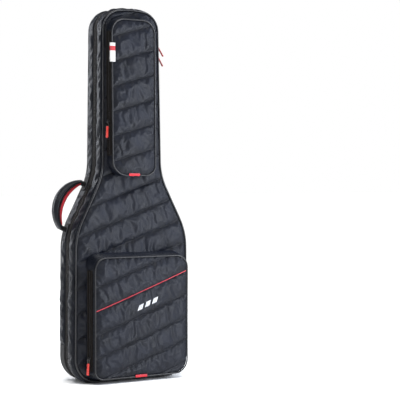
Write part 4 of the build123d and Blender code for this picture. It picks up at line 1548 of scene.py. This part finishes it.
@dataclass(frozen=True)
class ZipPull:
    """Slider, wire loop and moulded pull; +X leaves the zip and +Z runs up it."""

    name: str
    place: Matrix
    ring_lean: float
    tab_lean: float
    finish: SolidFinish
    clear: float = 0.5 * MM
    bar: float = 6.5 * MM
    reach: float = 18.2 * MM

    def slider(self) -> None:
        """Die-cast slider body with side flanges, nose and bridge."""
        draft = Draft()
        for base, top, scale in ((0.5, 1.7, 1.0), (1.7, 3.3, 0.78), (3.3, 4.9, 0.98)):
            rings = []
            for x, inset in ((base, 0.35), (base + 0.25, 0.0), (top - 0.25, 0.0), (top, 0.35)):
                ring = []
                for k in range(24):
                    angle = 2 * math.pi * k / 24
                    z = 7.0 * math.sin(angle)
                    wide = 4.2 + 1.3 * max(-1.0, min(1.0, z / 5.0))
                    y = math.copysign(abs(math.cos(angle)) ** 0.55, math.cos(angle)) * wide
                    if z > 4.5 and abs(y) < 1.2:
                        z -= 1.2
                    ring.append(Vector((x, y * scale * (1 - inset * 0.12), z * (1 - inset * 0.06))) * MM)
                rings.append(ring)
            draft.tube(rings)
        bridge = [Vector((x, 0, z)) * MM for x, z in ((4.6, -5.0), (7.6, -4.4), (9.0, -2.6), (9.0, 2.6),
                                                      (7.6, 4.4), (4.6, 5.0))]
        line = rounded_line(bridge, [1.2 * MM] * 4, 0.6 * MM)
        rings = []
        for index, spot in enumerate(line):
            run = (line[min(index + 1, len(line) - 1)] - line[max(index - 1, 0)]).normalized()
            out = REARWARD.cross(run).normalized()
            rings.append([spot + REARWARD * a + out * o
                          for a, o in oblong(3.0 * MM, 1.5 * MM, 0.4, 1)])
        draft.tube(rings)
        piece = draft.moved(self.place).piece(self.name + "_slider_casting", ZINC)
        fixed(piece, self.name + "_slider", self.name + "_slider")

    def loop(self) -> None:
        """Bent wire loop, closed at the back."""
        turn = self.place @ Matrix.Translation((self.bar, 0, 0)) @ Matrix.Rotation(
            -math.radians(self.ring_lean), 4, "Y")
        half, low, high, bend = 3.6 * MM, -18.2 * MM, 0.0, 2.4 * MM
        corners = [(half, low), (half, high), (-half, high), (-half, low)]
        points = []
        for index, (y, z) in enumerate(corners):
            sy, sz = math.copysign(1, y), (1 if z == high else -1)
            start = {0: -90, 1: 0, 2: 90, 3: 180}[index]
            for k in range(5):
                angle = math.radians(start + 22.5 * k)
                points.append(Vector((0, y - sy * bend + bend * math.cos(angle),
                                      z - sz * bend + bend * math.sin(angle))))
        rings = []
        for index, spot in enumerate(points):
            run = (points[(index + 1) % len(points)] - points[index - 1]).normalized()
            out = Vector((1, 0, 0))
            across = run.cross(out)
            rings.append([spot + across * a + out * o for a, o in round_section(0.85 * MM)])
        draft = Draft()
        draft.loft(rings, closed=True)
        piece = softened(draft.moved(turn).piece(self.name + "_wire_loop", NICKEL))
        fixed(piece, self.name + "_pull", self.name + "_pull_ring")

    def tab(self) -> None:
        """Moulded pull: collar, waist, ribbed grip and rounded end."""
        lean = math.radians(self.ring_lean)
        foot = Vector((self.bar + self.reach * math.sin(lean), 0, -self.reach * math.cos(lean)))
        turn = self.place @ Matrix.Translation(foot) @ Matrix.Rotation(
            -math.radians(self.tab_lean), 4, "Y")
        profile = [(2.9, 3.0, 1.1), (2.3, 4.5, 1.4), (0.5, 5.2, 1.5), (-2.5, 5.2, 1.5), (-4.5, 4.4, 1.3)]
        for k in range(9):
            z = -6.0 - 2.6 * k
            profile += [(z, 4.7 + 0.05 * k, 1.45), (z - 1.3, 4.55 + 0.05 * k, 1.15)]
        profile += [(-30.5, 5.3, 1.5), (-33.0, 4.9, 1.4), (-34.6, 3.6, 1.1), (-35.0, 2.2, 0.8)]
        rings = []
        for z, wide, thick in profile:
            ring = []
            for k in range(16):
                angle = 2 * math.pi * k / 16
                y = math.copysign(abs(math.cos(angle)) ** 0.45, math.cos(angle)) * wide
                x = math.copysign(abs(math.sin(angle)) ** 0.6, math.sin(angle)) * thick
                ring.append(Vector((x, y, z)) * MM)
            rings.append(ring)
        draft = tubed(rings)
        piece = draft.moved(turn).piece(self.name + "_moulded_pull", self.finish)
        fixed(piece, self.name + "_pull", self.name + "_pull_tab")

    def build(self) -> None:
        """Make the slider, the loop and the pull."""
        self.slider()
        self.loop()
        self.tab()


# ---- carrying handle ----

@dataclass
class Handle:
    """Padded crescent grip on the shoulder, in its own frame: s down the wall and n out of it."""

    y: float = 35 * MM
    half: float = 19 * MM
    foot: float = 20.0
    outer: tuple[float, ...] = (-16, 76, 167, 79)
    seam: tuple[float, ...] = (-8, 75, 158, 58)
    inner: tuple[float, ...] = (6, 76, 145, 41)

    @staticmethod
    def spot(s: float, n: float, y: float = 0.0) -> Vector:
        """Point s mm down the wall and n mm out of it, at depth y in metres."""
        x = NECK_X + (HANDLE_START + s) * WALL_RUN + (8 + n) * WALL_DROP
        z = NECK_Z - (HANDLE_START + s) * WALL_DROP + (8 + n) * WALL_RUN
        return Vector((-x * MM, y, z * MM))

    def arc(self, curve: tuple[float, ...], t: float) -> Flat:
        """Point on one of the grip's arcs.

        Args:
            curve: Start, middle and end s and the peak n, in millimetres.
            t: 0 at the arc's start and 1 at its end.

        Returns:
            The point (s, n).
        """
        start, middle, end, peak = curve
        a, b, c = Vector((start, self.foot)), Vector((middle, peak)), Vector((end, self.foot))
        mid = (a + b) / 2
        run = b - a
        lean = Vector((-run.y, run.x))
        mid2, run2 = (b + c) / 2, c - b
        share = (mid2 - mid).dot(run2) / lean.dot(run2)
        centre = mid + lean * share
        first, last = a - centre, c - centre
        angle = first.angle_signed(last)
        turned = Matrix.Rotation(-angle * t, 2) @ first
        if (centre + Matrix.Rotation(-angle / 2, 2) @ first - b).length > 30:
            angle -= math.copysign(2 * math.pi, angle)
            turned = Matrix.Rotation(-angle * t, 2) @ first
        spot = centre + turned
        return spot.x, spot.y

    def pad(self, name: str, near: tuple[float, ...], far: tuple[float, ...], half: float,
            finish: ClothFinish, node: str) -> None:
        """One padded half of the grip, between the seam and another arc.

        Args:
            name: Piece name.
            near: Arc of the seam.
            far: Arc of the crest.
            half: Half of its width in metres.
            finish: Its cloth.
            node: CAD node that it stands for.
        """
        rings = []
        for k in range(49):
            t = k / 48
            s0, n0 = self.arc(near, t)
            s1, n1 = self.arc(far, t)
            pucker = 1 + 0.035 * noise.noise(Vector((t * 17, half * 90, 0)))
            ring = [self.spot(s0, n0, self.y - half * 0.96), self.spot(s0, n0, self.y + half * 0.96)]
            for j in range(1, 14):
                angle = math.pi * j / 14
                side = math.copysign(abs(math.cos(angle)) ** 0.8, math.cos(angle))
                lift = math.sin(angle) ** 0.75
                lift *= 1 - 0.10 * math.exp(-((abs(math.cos(angle)) - 0.72) / 0.07) ** 2)
                s, n = s0 + (s1 - s0) * lift * pucker, n0 + (n1 - n0) * lift * pucker
                ring.append(self.spot(s, n, self.y + half * side))
            rings.append(ring)
        draft = tubed(rings)
        piece = softened(draft.piece(name, finish))
        fixed(piece, "handle", node)

    def binding(self) -> None:
        """Bound edges along both sides of the grip."""
        for side in (-1, 1):
            points = []
            for k in range(61):
                s, n = self.arc(self.seam, 0.01 + 0.98 * k / 60)
                points.append(self.spot(s, n, self.y + side * self.half * 0.97))
            draft = tubed(swept(along(points, Vector((0, side, 0)), 5 * MM), round_section(1.7 * MM)))
            label = "front" if side < 0 else "back"
            fixed(softened(draft.piece(f"handle_binding_{label}", WEB)), "handle")

    def webbing(self) -> None:
        """Webbing ends between the wall and the grip."""
        for name, start, foot in (("upper", -15.0, 2.5), ("lower", 150.0, -3.0)):
            middle = start + 8.0
            line = [self.spot(middle, n, self.y) for n in (foot, 8.0, 13.0, 20.5)]
            out = (self.spot(1, 0) - self.spot(0, 0)).normalized()
            draft = band(line, out, 26 * MM, 15 * MM, step=2.5 * MM)
            piece = draft.piece(f"handle_web_{name}", WEB)
            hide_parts("handle_webbing")
            low, high = self.spot(78, 3.5, self.y), self.spot(78, 20.0, self.y)
            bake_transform(piece)

    def patches(self) -> None:
        """Reinforcing patches on the wall, each with a stitched box."""
        stations = [p for p in BAG.stations(4 * MM) if p.x < -0.05 and 0.36 < p.z < 0.72]
        for name, start, end in (("upper", -44, 14), ("lower", 134, 192)):
            rings, run = [], []
            for p in stations:
                spot = p.at(WALL, 0)
                s = (NECK_Z * MM - spot.z) * WALL_DROP + (-NECK_X * MM - spot.x) * WALL_RUN
                s -= HANDLE_START * MM
                if start * MM <= s <= end * MM:
                    run.append(p)
            for p in run:
                rows = [self.y + (-17 + 34 * k / 8) * MM for k in range(9)]
                ring = [p.at(WALL + (1.9 if 0 < k < 8 else 1.3) * MM, y) for k, y in enumerate(rows)]
                ring += [p.at(WALL - 1.5 * MM, rows[-1]), p.at(WALL - 1.5 * MM, rows[0])]
                rings.append(ring)
            draft = tubed(rings)
            fixed(draft.piece(f"handle_patch_{name}", WEB), "root", "handle_patches")
            out = Vector((-WALL_DROP, 0, WALL_RUN))
            inner = run[2:-2]
            lines = [[(p.at(WALL + 2.1 * MM, self.y + side * 14 * MM), out) for p in inner]
                     for side in (-1, 1)]
            for p in (inner[0], inner[-1]):
                lines.append([(p.at(WALL + 2.1 * MM, self.y + side * 14 * MM), out) for side in (-1, 1)])
            fixed(PALE_STITCH.along(f"handle_patch_{name}_stitches", lines), "root")

    def rivets(self) -> None:
        """Domed rivet caps beyond each end of the grip."""
        draft = Draft()
        out = Vector((-WALL_DROP, 0, WALL_RUN))
        down = Vector((-WALL_RUN, 0, -WALL_DROP))
        for s, n in ((-36.0, 5.0), (184.0, -8.2)):
            for side in (-1, 1):
                centre = self.spot(s, n, self.y + side * 10 * MM)
                rings = [[centre + (down * math.cos(a) + REARWARD * math.sin(a)) * r * MM
                          + out * h * MM for a in (2 * math.pi * k / 16 for k in range(16))]
                         for r, h in ((3.0, 0.0), (3.1, 0.7), (2.8, 1.4), (2.1, 1.9), (1.1, 2.2))]
                draft.tube(rings)
        fixed(draft.piece("handle_rivet_caps", ZINC), "root", "handle_rivets")

    def build(self) -> None:
        """Make all of the handle."""
        self.pad("handle_grip", self.seam, self.outer, self.half, SHELL, "handle_pad")
        self.pad("handle_red_lining", self.seam, self.inner, self.half - 2 * MM, RED_CLOTH,
                 "handle_lining")
        self.binding()
        self.webbing()
        self.patches()
        self.rivets()


# ---- back straps ----

@dataclass
class Straps:
    """Backpack straps with their yoke, buckles, lower webs and the hang loop."""

    width: float = 64 * MM
    front_y: float = 67 * MM
    back_y: float = 78 * MM
    line: tuple[Flat, ...] = ((0.052, 0.699), (0.053, 0.480), (0.083, 0.345), (0.113, 0.258))
    bends: tuple[float, ...] = (0.260, 0.260)
    cross_seams: tuple[float, ...] = (0.670, 0.512, 0.345)
    web: float = 33 * MM

    def route(self, side: int) -> list[Vector]:
        """Middle line of a strap."""
        middle = (self.front_y + self.back_y) / 2
        return rounded_line([Vector((side * x, middle, z)) for x, z in self.line], self.bends, 8 * MM)

    def pad(self, side: int, name: str) -> None:
        """Padded strap with crossing seams and bound edges.

        Args:
            side: 1 for the strap at +X, -1 for the other.
            name: "left" or "right".
        """
        frames = along(self.route(side), REARWARD, 5 * MM)
        section = oblong(self.width - 3 * MM, 8 * MM, 0.4, 9)
        rings, held = [], []
        for f in frames:
            gap = min(abs(f.spot.z - z) for z in self.cross_seams)
            ends = min((f.spot - frames[0].spot).length, (f.spot - frames[-1].spot).length)
            lift = pillow(gap, 45 * MM) * 0.75 + 0.25
            lift = min(lift, 0.35 + 0.65 * pillow(ends, 25 * MM))
            ring = []
            for a, o in section:
                edge = 1 - abs(a) / (self.width / 2)
                full = 0.55 + 0.65 * lift * min(1.0, edge / 0.35) ** 0.5
                crease = noise.noise(Vector((f.spot.z * 80, a * 60, side))) * 0.5 * MM
                ring.append(f.spot + f.across * a + f.out * (o * full + (crease if o > 0 else 0)))
            rings.append(ring)
            held.append(gap < 3 * MM or ends < 4 * MM)
        draft = Draft()
        grid = draft.tube(rings)
        front = {i for ring in grid for i in ring if draft.points[i].y < 69.5 * MM}
        piece = draft.piece(f"strap_pad_{name}_cloth", STRAP_CLOTH, AIR_MESH,
                            choose=lambda c: 1 if c.y < 70.5 * MM else 0)
        pins = {i for ring, fast in zip(grid, held) if fast for i in ring} | front
        pins |= {ring[k] for ring in grid for k in (0, 1, 11, 12, 13, 23)}
        inflate(piece, pins, 3.0, 1.5 * MM)
        softened(piece)
        fixed(piece, "strap_" + name, "strap_pad_" + name)
        for edge, label in ((-1, "a"), (1, "b")):
            line = [f.spot + f.across * edge * (self.width / 2 - 1.2 * MM) for f in frames]
            wrap = Draft()
            wrap.tube(swept(along(line, REARWARD, 5 * MM), oblong(6 * MM, 6.4 * MM, 0.45, 2)))
            fixed(wrap.piece(f"strap_{name}_binding_{label}", WEB), "strap_" + name)
        runs = []
        for f, fast in zip(frames, held):
            if fast and min((f.spot - frames[0].spot).length, (f.spot - frames[-1].spot).length) > 9 * MM:
                top = f.spot + f.out * 3.1 * MM
                runs.append([(top + f.across * self.width * s, REARWARD) for s in (-0.44, 0.44)])
        for edge in (-1, 1):
            runs.append([(f.spot + f.across * edge * (self.width / 2 - 3.2 * MM) + f.out * 3.5 * MM,
                          REARWARD) for f in frames[1:-1]])
        fixed(PALE_STITCH.along(f"strap_{name}_stitches", runs), "strap_" + name)

    def end(self, side: int, name: str) -> None:
        """Webbing tongue from the strap round the buckle's upper bar."""
        (x0, z0), (x1, z1) = self.line[-2:]
        down = Vector((side * (x1 - x0), 0, z1 - z0)).normalized()
        pivot = Vector((side * x1, 72.5 * MM, z1)) + down * 20 * MM
        line = [pivot - down * 28 * MM + Vector((0, 1.6 * MM, 0)),
                pivot - down * 9 * MM + Vector((0, 1.8 * MM, 0))]
        for k in range(9):
            angle = math.radians(80 - 20 * k)
            line.append(pivot + down * 3.4 * MM * math.cos(angle)
                        + Vector((0, 3.4 * MM * math.sin(angle), 0)))
        line += [pivot - down * 9 * MM - Vector((0, 1.8 * MM, 0)),
                 pivot - down * 20 * MM - Vector((0, 1.6 * MM, 0))]
        across = down.cross(REARWARD).normalized()
        rings = []
        for index, spot in enumerate(line):
            run = (line[min(index + 1, len(line) - 1)] - line[max(index - 1, 0)]).normalized()
            out = run.cross(across).normalized()
            rings.append([spot + across * a + out * o for a, o in oblong(self.web, 1.7 * MM)])
        draft = tubed(rings)
        fixed(draft.piece(f"strap_end_{name}_web", WEB), "strap_" + name, "strap_end_" + name)

    def lower(self, name: str, route: Sequence[Flat], tail: float) -> None:
        """Adjusting web from the buckle to the bag's lower edge.

        Args:
            name: "left" or "right".
            route: Points (x, z) from its upper end to its lower end.
            tail: Length of the loose end beside it, or 0 where it doesn't show.
        """
        points = rounded_line([Vector((x, 67 * MM, z)) for x, z in route], [0.15], 6 * MM)
        sway = [p + Vector((0, 0.5 * MM * math.sin(k * 0.8), 0)) for k, p in enumerate(points)]
        draft = band(sway, REARWARD, self.web, 1.8 * MM, step=6 * MM)
        piece = draft.piece(f"lower_web_{name}", WEB)
        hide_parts("lower_webbing_" + name)
        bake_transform(piece)
        if tail:
            top = points[0] + Vector((9 * MM, 2.3 * MM, -10 * MM))
            line = [top, top + Vector((5 * MM, 0.6 * MM, -45 * MM)), top + Vector((2 * MM, 0, -tail))]
            loose = band(rounded_line(line, [0.12], 6 * MM), Vector((0.05, 1, 0)), self.web, 1.6 * MM)
            piece = loose.piece(f"lower_web_{name}_tail", WEB)
            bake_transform(piece)

    def anchors(self) -> None:
        """Sewn patches that hold the lower ends of both webs."""
        for name, x, z in (("left", 0.112, 0.024), ("right", -0.160, 0.053)):
            line = [Vector((x, 64.6 * MM, z - 15 * MM)), Vector((x, 64.6 * MM, z + 15 * MM))]
            draft = band(line, REARWARD, 36 * MM, 2.6 * MM)
            fixed(draft.piece(f"web_anchor_{name}", WEB), "root", "webbing_anchors")
            corners = [Vector((x + a * 14 * MM, 68.3 * MM, z + b * 11 * MM))
                       for a, b in ((-1, -1), (1, -1), (1, 1), (-1, 1))]
            lines = box_cross(corners, REARWARD)
            fixed(PALE_STITCH.along(f"web_anchor_{name}_stitches", lines), "root")

    def band_and_yoke(self) -> None:
        """Webbing across the back, the padded yoke on it and the yoke's label."""
        z = 711.5 * MM
        line = [Vector((x * MM, (64.4 + 0.35 * math.sin(x * 0.21)) * MM, z)) for x in range(-102, 103, 6)]
        draft = band(line, REARWARD, 43 * MM, 2.4 * MM)
        fixed(draft.piece("anchor_webbing", WEB), "root", "anchor_band")
        rows = [[(p + Vector((0, 1.3 * MM, dz * MM)), REARWARD) for p in line]
                for dz in (-18.5, 18.5)]
        fixed(PALE_STITCH.along("anchor_webbing_stitches", rows), "root")
        outer, arch = 83.5 * MM, 12 * MM
        corners = [(-outer, 700, 2), (-21 * MM, 700, 2), (-20 * MM, 711, 9), (20 * MM, 711, 9),
                   (21 * MM, 700, 2), (outer, 700, 2), (outer, 732.5, 12), (-outer, 732.5, 12)]
        shape = Outline(tuple((x, cz * MM, r * MM) for x, cz, r in corners))
        yoke = Quilt("yoke_pad", shape, [], 1, lambda _: 73.5 * MM, 7.6 * MM, 4.4 * MM, 0.5 * MM,
                     STRAP_CLOTH, step=4 * MM, cap=2 * MM, seed=11)
        fixed(yoke.build(), "root", "strap_yoke")
        rim = [(p.at(-4 * MM, 75.8 * MM), REARWARD) for p in shape.stations(5 * MM)]
        fixed(PALE_STITCH.along("yoke_stitches", [rim + rim[:1]]), "root")
        rings = [[Vector((x * MM, y * MM, cz * MM)) for x, y in ((-10, 65.6), (-10, 66.3), (0, 66.5),
                                                                 (10, 66.3), (10, 65.6))]
                 for cz in (692, 696, 701, 706, 710)]
        tag = Draft()
        tag.tube(rings)
        label = tag.piece("yoke_tag", RED_CLOTH, LABEL,
                          choose=lambda c: 1 if c.z < 0.6965 else 0)
        fixed(label, "root", "yoke_label")

    def loop(self) -> None:
        """Hang loop: one web folded to a point, its legs sewn flat."""
        draft = Draft()
        for side in (-1, 1):
            legs = [[Vector((side * x * MM, 67 * MM, z * MM)) for x, z in row]
                    for row in (((4, 733.6), (38, 733.6)), ((4, 755), (38, 755)), ((4, 776), (38, 776)),
                                ((4, 784), (38, 800)), ((0, 784), (0, 825)))]
            rings = []
            for inner, outer in legs:
                half = [Vector((0, (0.7 if k in (0, 6) else 0.95) * MM, 0)) for k in range(7)]
                ring = [inner.lerp(outer, k / 6) + half[k] for k in range(7)]
                rings.append(ring + [inner.lerp(outer, k / 6) - half[k] for k in range(6, -1, -1)])
            draft.tube(rings)
        fixed(draft.piece("hang_loop_web", WEB), "hang_loop", "hang_loop")
        runs = []
        out = REARWARD
        for side in (-1, 1):
            for x in (7.0, 35.0):
                runs.append([(Vector((side * x * MM, 68.0 * MM, z * MM)), out) for z in (736, 782)])
            runs.append([(Vector((side * 35 * MM, 68 * MM, 799 * MM)), out),
                         (Vector((0, 68 * MM, 820.5 * MM)), out)])
            runs.append([(Vector((side * 35 * MM, 68 * MM, 782 * MM)), out),
                         (Vector((side * 35 * MM, 68 * MM, 799 * MM)), out)])
        fixed(PALE_STITCH.along("hang_loop_stitches", runs), "hang_loop")

    def build(self) -> None:
        """Make everything on the back."""
        self.band_and_yoke()
        for side, name in ((1, "left"), (-1, "right")):
            self.pad(side, name)
            self.end(side, name)
            moulded("buckle_" + name, ACETAL, 0.7 * MM)
        self.lower("left", ((0.134, 0.186), (0.131, 0.110), (0.118, 0.008)), 62 * MM)
        self.lower("right", ((-0.134, 0.186), (-0.146, 0.120), (-0.166, 0.038)), 0.0)
        self.anchors()
        self.loop()


def moulded(node: str, finish: SolidFinish, edge: float) -> None:
    """Give a hard CAD node its finish and rounded edges.

    Args:
        node: Name of the CAD node, which stays where it is.
        finish: Its finish.
        edge: Width of the rounding.
    """
    kept = bpy.data.objects[node]
    kept.data.materials.clear()
    kept.data.materials.append(dressed(finish))
    weld = kept.modifiers.new("Weld", "WELD")
    weld.merge_threshold = 0.01 * MM
    bevel = kept.modifiers.new("Edges", "BEVEL")
    bevel.width, bevel.segments, bevel.limit_method = edge, 2, "ANGLE"
    bevel.angle_limit = math.radians(40)
    bevel.harden_normals = True
    LOG.info("%s kept", node)


# ---- guards and inner parts ----

@dataclass
class CornerGuards:
    """Moulded rubber guards on the lower corners of the back half."""

    low_y: float = 17.2 * MM
    high_y: float = 54.8 * MM
    inner_x: float = 112 * MM
    top_z: float = 122 * MM

    def build(self) -> None:
        """Make both guards, ribbed along the corner."""
        stations = BAG.stations(1.6 * MM)
        for name, sign in (("left", 1), ("right", -1)):
            run = [p for p in stations if sign * p.x > self.inner_x and p.z < self.top_z]
            rings = []
            for index, p in enumerate(run):
                ends = min(index, len(run) - 1 - index)
                rib = 0.9 * MM * max(0.0, math.sin(p.s / (7 * MM) * 2 * math.pi)) ** 0.6
                if ends < 5:
                    rib = 0.8 * MM * ends / 5
                ring = []
                for k in range(11):
                    y = self.low_y + (self.high_y - self.low_y) * k / 10
                    rim = 1.0 if 1 < k < 9 else 0.0
                    edge = 0.9 * MM if k in (0, 10) or ends == 0 else 1.7 * MM
                    spot = p.at(WALL + edge + rib * rim, y)
                    spot.z = max(spot.z, 0.1 * MM)
                    ring.append(spot)
                ring += [p.at(WALL - 1.2 * MM, self.high_y), p.at(WALL - 1.2 * MM, self.low_y)]
                rings.append(ring)
            draft = tubed(rings)
            fixed(draft.piece("rubber_guard_" + name, RUBBER), "root", "corner_guard_" + name)


@dataclass
class Inside:
    """Foam parts in the compartment."""

    cradle_half: float = 0.080
    cheek_inner: float = 0.038
    bumper_half: float = 0.070
    low_z: float = 0.800
    high_z: float = 0.880
    back_y: float = 45.4 * MM

    def block(self, name: str, node: str, low: Vector, high: Vector, crown: float) -> None:
        """Plush-covered foam block with pillowed faces.

        Args:
            name: Piece name.
            node: CAD node that it stands for.
            low: Lowest corner.
            high: Highest corner.
            crown: Height of its crowned faces.
        """
        shell = bmesh.new()
        bmesh.ops.create_cube(shell, size=1.0)
        middle, size = (low + high) / 2, high - low
        bmesh.ops.subdivide_edges(shell, edges=shell.edges, cuts=7, use_grid_fill=True)
        for vertex in shell.verts:
            unit = vertex.co.copy()
            swell = math.cos(math.pi * unit.x) * math.cos(math.pi * unit.y)
            swell += math.cos(math.pi * unit.y) * math.cos(math.pi * unit.z)
            swell += math.cos(math.pi * unit.x) * math.cos(math.pi * unit.z)
            shape = Vector((unit.x * size.x, unit.y * size.y, unit.z * size.z)) * 0.975
            vertex.co = middle + shape + unit.normalized() * crown * max(0.0, swell)
        mesh = bpy.data.meshes.new(name)
        shell.to_mesh(mesh)
        shell.free()
        mesh.materials.append(dressed(PLUSH))
        for polygon in mesh.polygons:
            polygon.use_smooth = True
        piece = shown(name, mesh)
        softened(piece)
        fixed(piece, "root", *([node] if node else []))

    def build(self) -> None:
        """Make the neck cradle, its strap and the end bumper."""
        base = (Vector((-self.cradle_half, 28.6 * MM, self.low_z)),
                Vector((self.cradle_half, self.back_y, self.high_z)))
        self.block("cradle_base", "neck_cradle", *base, 0.4 * MM)
        for name, sign in (("left", 1), ("right", -1)):
            xs = sorted((sign * self.cheek_inner, sign * self.cradle_half))
            self.block("cradle_cheek_" + name, "neck_cradle", Vector((xs[0], -4.9 * MM, 0.801)),
                       Vector((xs[1], 28.4 * MM, 0.879)), 0.5 * MM)
        self.block("end_bumper", "bottom_bumper", Vector((-self.bumper_half, -14.9 * MM, 17.6 * MM)),
                   Vector((self.bumper_half, self.back_y, 45.4 * MM)), 0.6 * MM)
        line = [Vector((x * MM, (-6.5 - 0.4 * math.cos(x * 0.05)) * MM, 0.840)) for x in range(-76, 77, 8)]
        strap = band(line, FORWARD, 36 * MM, 2.4 * MM)
        fixed(strap.piece("cradle_strap", WEB), "root", "neck_strap")


# ---- camera, floor and light ----

@dataclass(frozen=True)
class Studio:
    """Camera, floor and soft lights."""

    target: tuple[float, float, float] = (0.0, 0.0, 0.62)
    azimuth: float = -26.0
    elevation: float = 1.0
    distance: float = 4.07
    lens: float = 108.0
    turn_right: float = 3.62
    turn_down: float = 0.26
    ambient: float = 0.14

    def camera(self) -> None:
        """Place the camera."""
        data = bpy.data.cameras.new("camera")
        data.lens, data.sensor_width, data.clip_end = self.lens, 36.0, 50.0
        camera = bpy.data.objects.new("camera", data)
        a, e = math.radians(self.azimuth), math.radians(self.elevation)
        back = Vector((math.sin(a) * math.cos(e), -math.cos(a) * math.cos(e), math.sin(e)))
        camera.location = Vector(self.target) + back * self.distance
        pitch = math.radians(90 - self.elevation - self.turn_down)
        camera.rotation_euler = (pitch, 0, math.radians(self.azimuth - self.turn_right))
        bpy.context.scene.collection.objects.link(camera)
        bpy.context.scene.camera = camera

    def floor(self) -> None:
        """Plain pale floor that fades into the backdrop."""
        mesh = bpy.data.meshes.new("studio_floor")
        size = 30.0
        mesh.from_pydata([(-size, -size, 0), (size, -size, 0), (size, size, 0), (-size, size, 0)], [],
                         [(0, 1, 2, 3)])
        mesh.materials.append(dressed(FLOOR))
        floor = shown("studio_floor", mesh)

    def light(self, name: str, azimuth: float, elevation: float, away: float, size: Flat,
              power: float, colour: str = "#ffffff") -> None:
        """Add one softbox that faces the bag.

        Args:
            name: Light's name.
            azimuth: Direction that it stands in, in degrees.
            elevation: Height angle in degrees.
            away: Distance in metres.
            size: Width and height in metres.
            power: Power in watts.
            colour: Colour of the light.
        """
        data = bpy.data.lights.new(name, "AREA")
        data.shape, (data.size, data.size_y) = "RECTANGLE", size
        data.energy, data.color = power, linear(colour)[:3]
        lamp = bpy.data.objects.new(name, data)
        a, e = math.radians(azimuth), math.radians(elevation)
        back = Vector((math.sin(a) * math.cos(e), -math.cos(a) * math.cos(e), math.sin(e)))
        middle = Vector((0, 0, 0.65))
        lamp.location = middle + back * away
        lamp.rotation_euler = back.to_track_quat("Z", "Y").to_euler()
        bpy.context.scene.collection.objects.link(lamp)

    def overhead(self) -> None:
        """Broad soft light from overhead, which also whitens the floor."""
        data = bpy.data.lights.new("overhead", "SUN")
        data.energy, data.angle, data.color = 3.3, math.radians(45), linear("#ffffff")[:3]
        lamp = bpy.data.objects.new("overhead", data)
        lamp.rotation_euler = (math.radians(14), 0, math.radians(-20))
        bpy.context.scene.collection.objects.link(lamp)

    def build(self) -> None:
        """Set up the studio."""
        self.camera()
        self.floor()
        world = bpy.data.worlds.new("studio")
        world.use_nodes = True
        tree = world.node_tree
        seen = add_node(tree, "ShaderNodeLightPath").outputs["Is Camera Ray"]
        strength = add_node(tree, "ShaderNodeMapRange", None, {
            "Value": seen, "To Min": self.ambient, "To Max": 1.0}).outputs[0]
        backdrop = tree.nodes["Background"]
        backdrop.inputs["Color"].default_value = linear("#ffffff")
        tree.links.new(strength, backdrop.inputs["Strength"])
        bpy.context.scene.world = world
        bpy.context.scene.view_settings.view_transform = "Standard"
        self.overhead()
        self.light("left_softbox", -150, 22, 2.6, (0.9, 1.8), 45, "#f4f8ff")
        self.light("front_softbox", 44, 14, 2.8, (0.8, 2.4), 120, "#eef4ff")
        self.light("back_softbox", 135, 22, 3.0, (1.0, 2.2), 55, "#f4f8ff")


def pulls(tilt: Matrix) -> list[ZipPull]:
    """The four zip pulls in their places.

    Args:
        tilt: Tilt of the head pocket.

    Returns:
        The pulls.
    """
    def on_main(z: float) -> Matrix:
        share = (z - 0.684) / 0.540
        return Matrix.Translation((0.104 - 0.007 * share + WALL, 0, z))

    def on_gusset(left: float, slope: float, rise: float, z: float) -> Matrix:
        lean = math.pi + math.atan2(slope, rise)
        spot = Vector((left - slope / 2, LID_Y - rise / 2, z))
        spot += Vector((math.cos(lean), math.sin(lean), 0)) * 1.5 * MM
        return Matrix.Translation(spot) @ Matrix.Rotation(lean, 4, "Z")

    head = tilt @ on_gusset(-0.084, 0.008, 0.023, 0.862)
    accessory = on_gusset(-0.156, 0.016, 0.038, 0.086)
    return [ZipPull("main_zip_upper", on_main(1.128), 72, 33, DARK_RED_PVC),
            ZipPull("main_zip_lower", on_main(1.097), 66, 30, DARK_RED_PVC),
            ZipPull("head_zip", head, 4, 4, RED_PVC),
            ZipPull("accessory_zip", accessory, 4, 4, RED_PVC)]


def main() -> None:
    """Build the bag in order and report each piece."""
    logging.basicConfig(level=logging.INFO, format="%(message)s", stream=sys.stdout)
    Studio().build()
    Shell().build()
    tilt = head_tilt()
    slope = 0.29
    head = Pocket("head_pocket", -0.084, 0.073, 0.685, 1.200, 0.030, (0.050, 0.033, 0.045, 0.045),
                  (0.008, 0.003, 0.002, 0.006),
                  [(slope, 1.1414 + 0.084 * slope - 0.0822 * k) for k in range(6)], (0.750, 1.160),
                  tilt, 21)
    head.build((-0.007, 0.040))
    steep = 0.122 / 0.336
    accessory = Pocket("accessory_pocket", -0.156, 0.185, 0.018, 0.415, 0.045,
                       (0.028, 0.046, 0.040, 0.040), (0.016, 0.003, 0.001, 0.016),
                       [(steep, z + 0.1535 * steep) for z in (0.318, 0.241, 0.162, 0.085, 0.009, -0.066)],
                       (0.045, 0.375), Matrix.Identity(4), 31)
    depth = accessory.build((0.009, 0.043))
    trim = PocketTrim()
    trim.flag(tilt)
    trim.red_cord(accessory, depth)
    trim.bars(depth)
    for pull in pulls(tilt):
        pull.build()
    Handle().build()
    Straps().build()
    CornerGuards().build()
    Inside().build()


if __name__ == "__main__":
    main()
    bpy.context.view_layer.update()
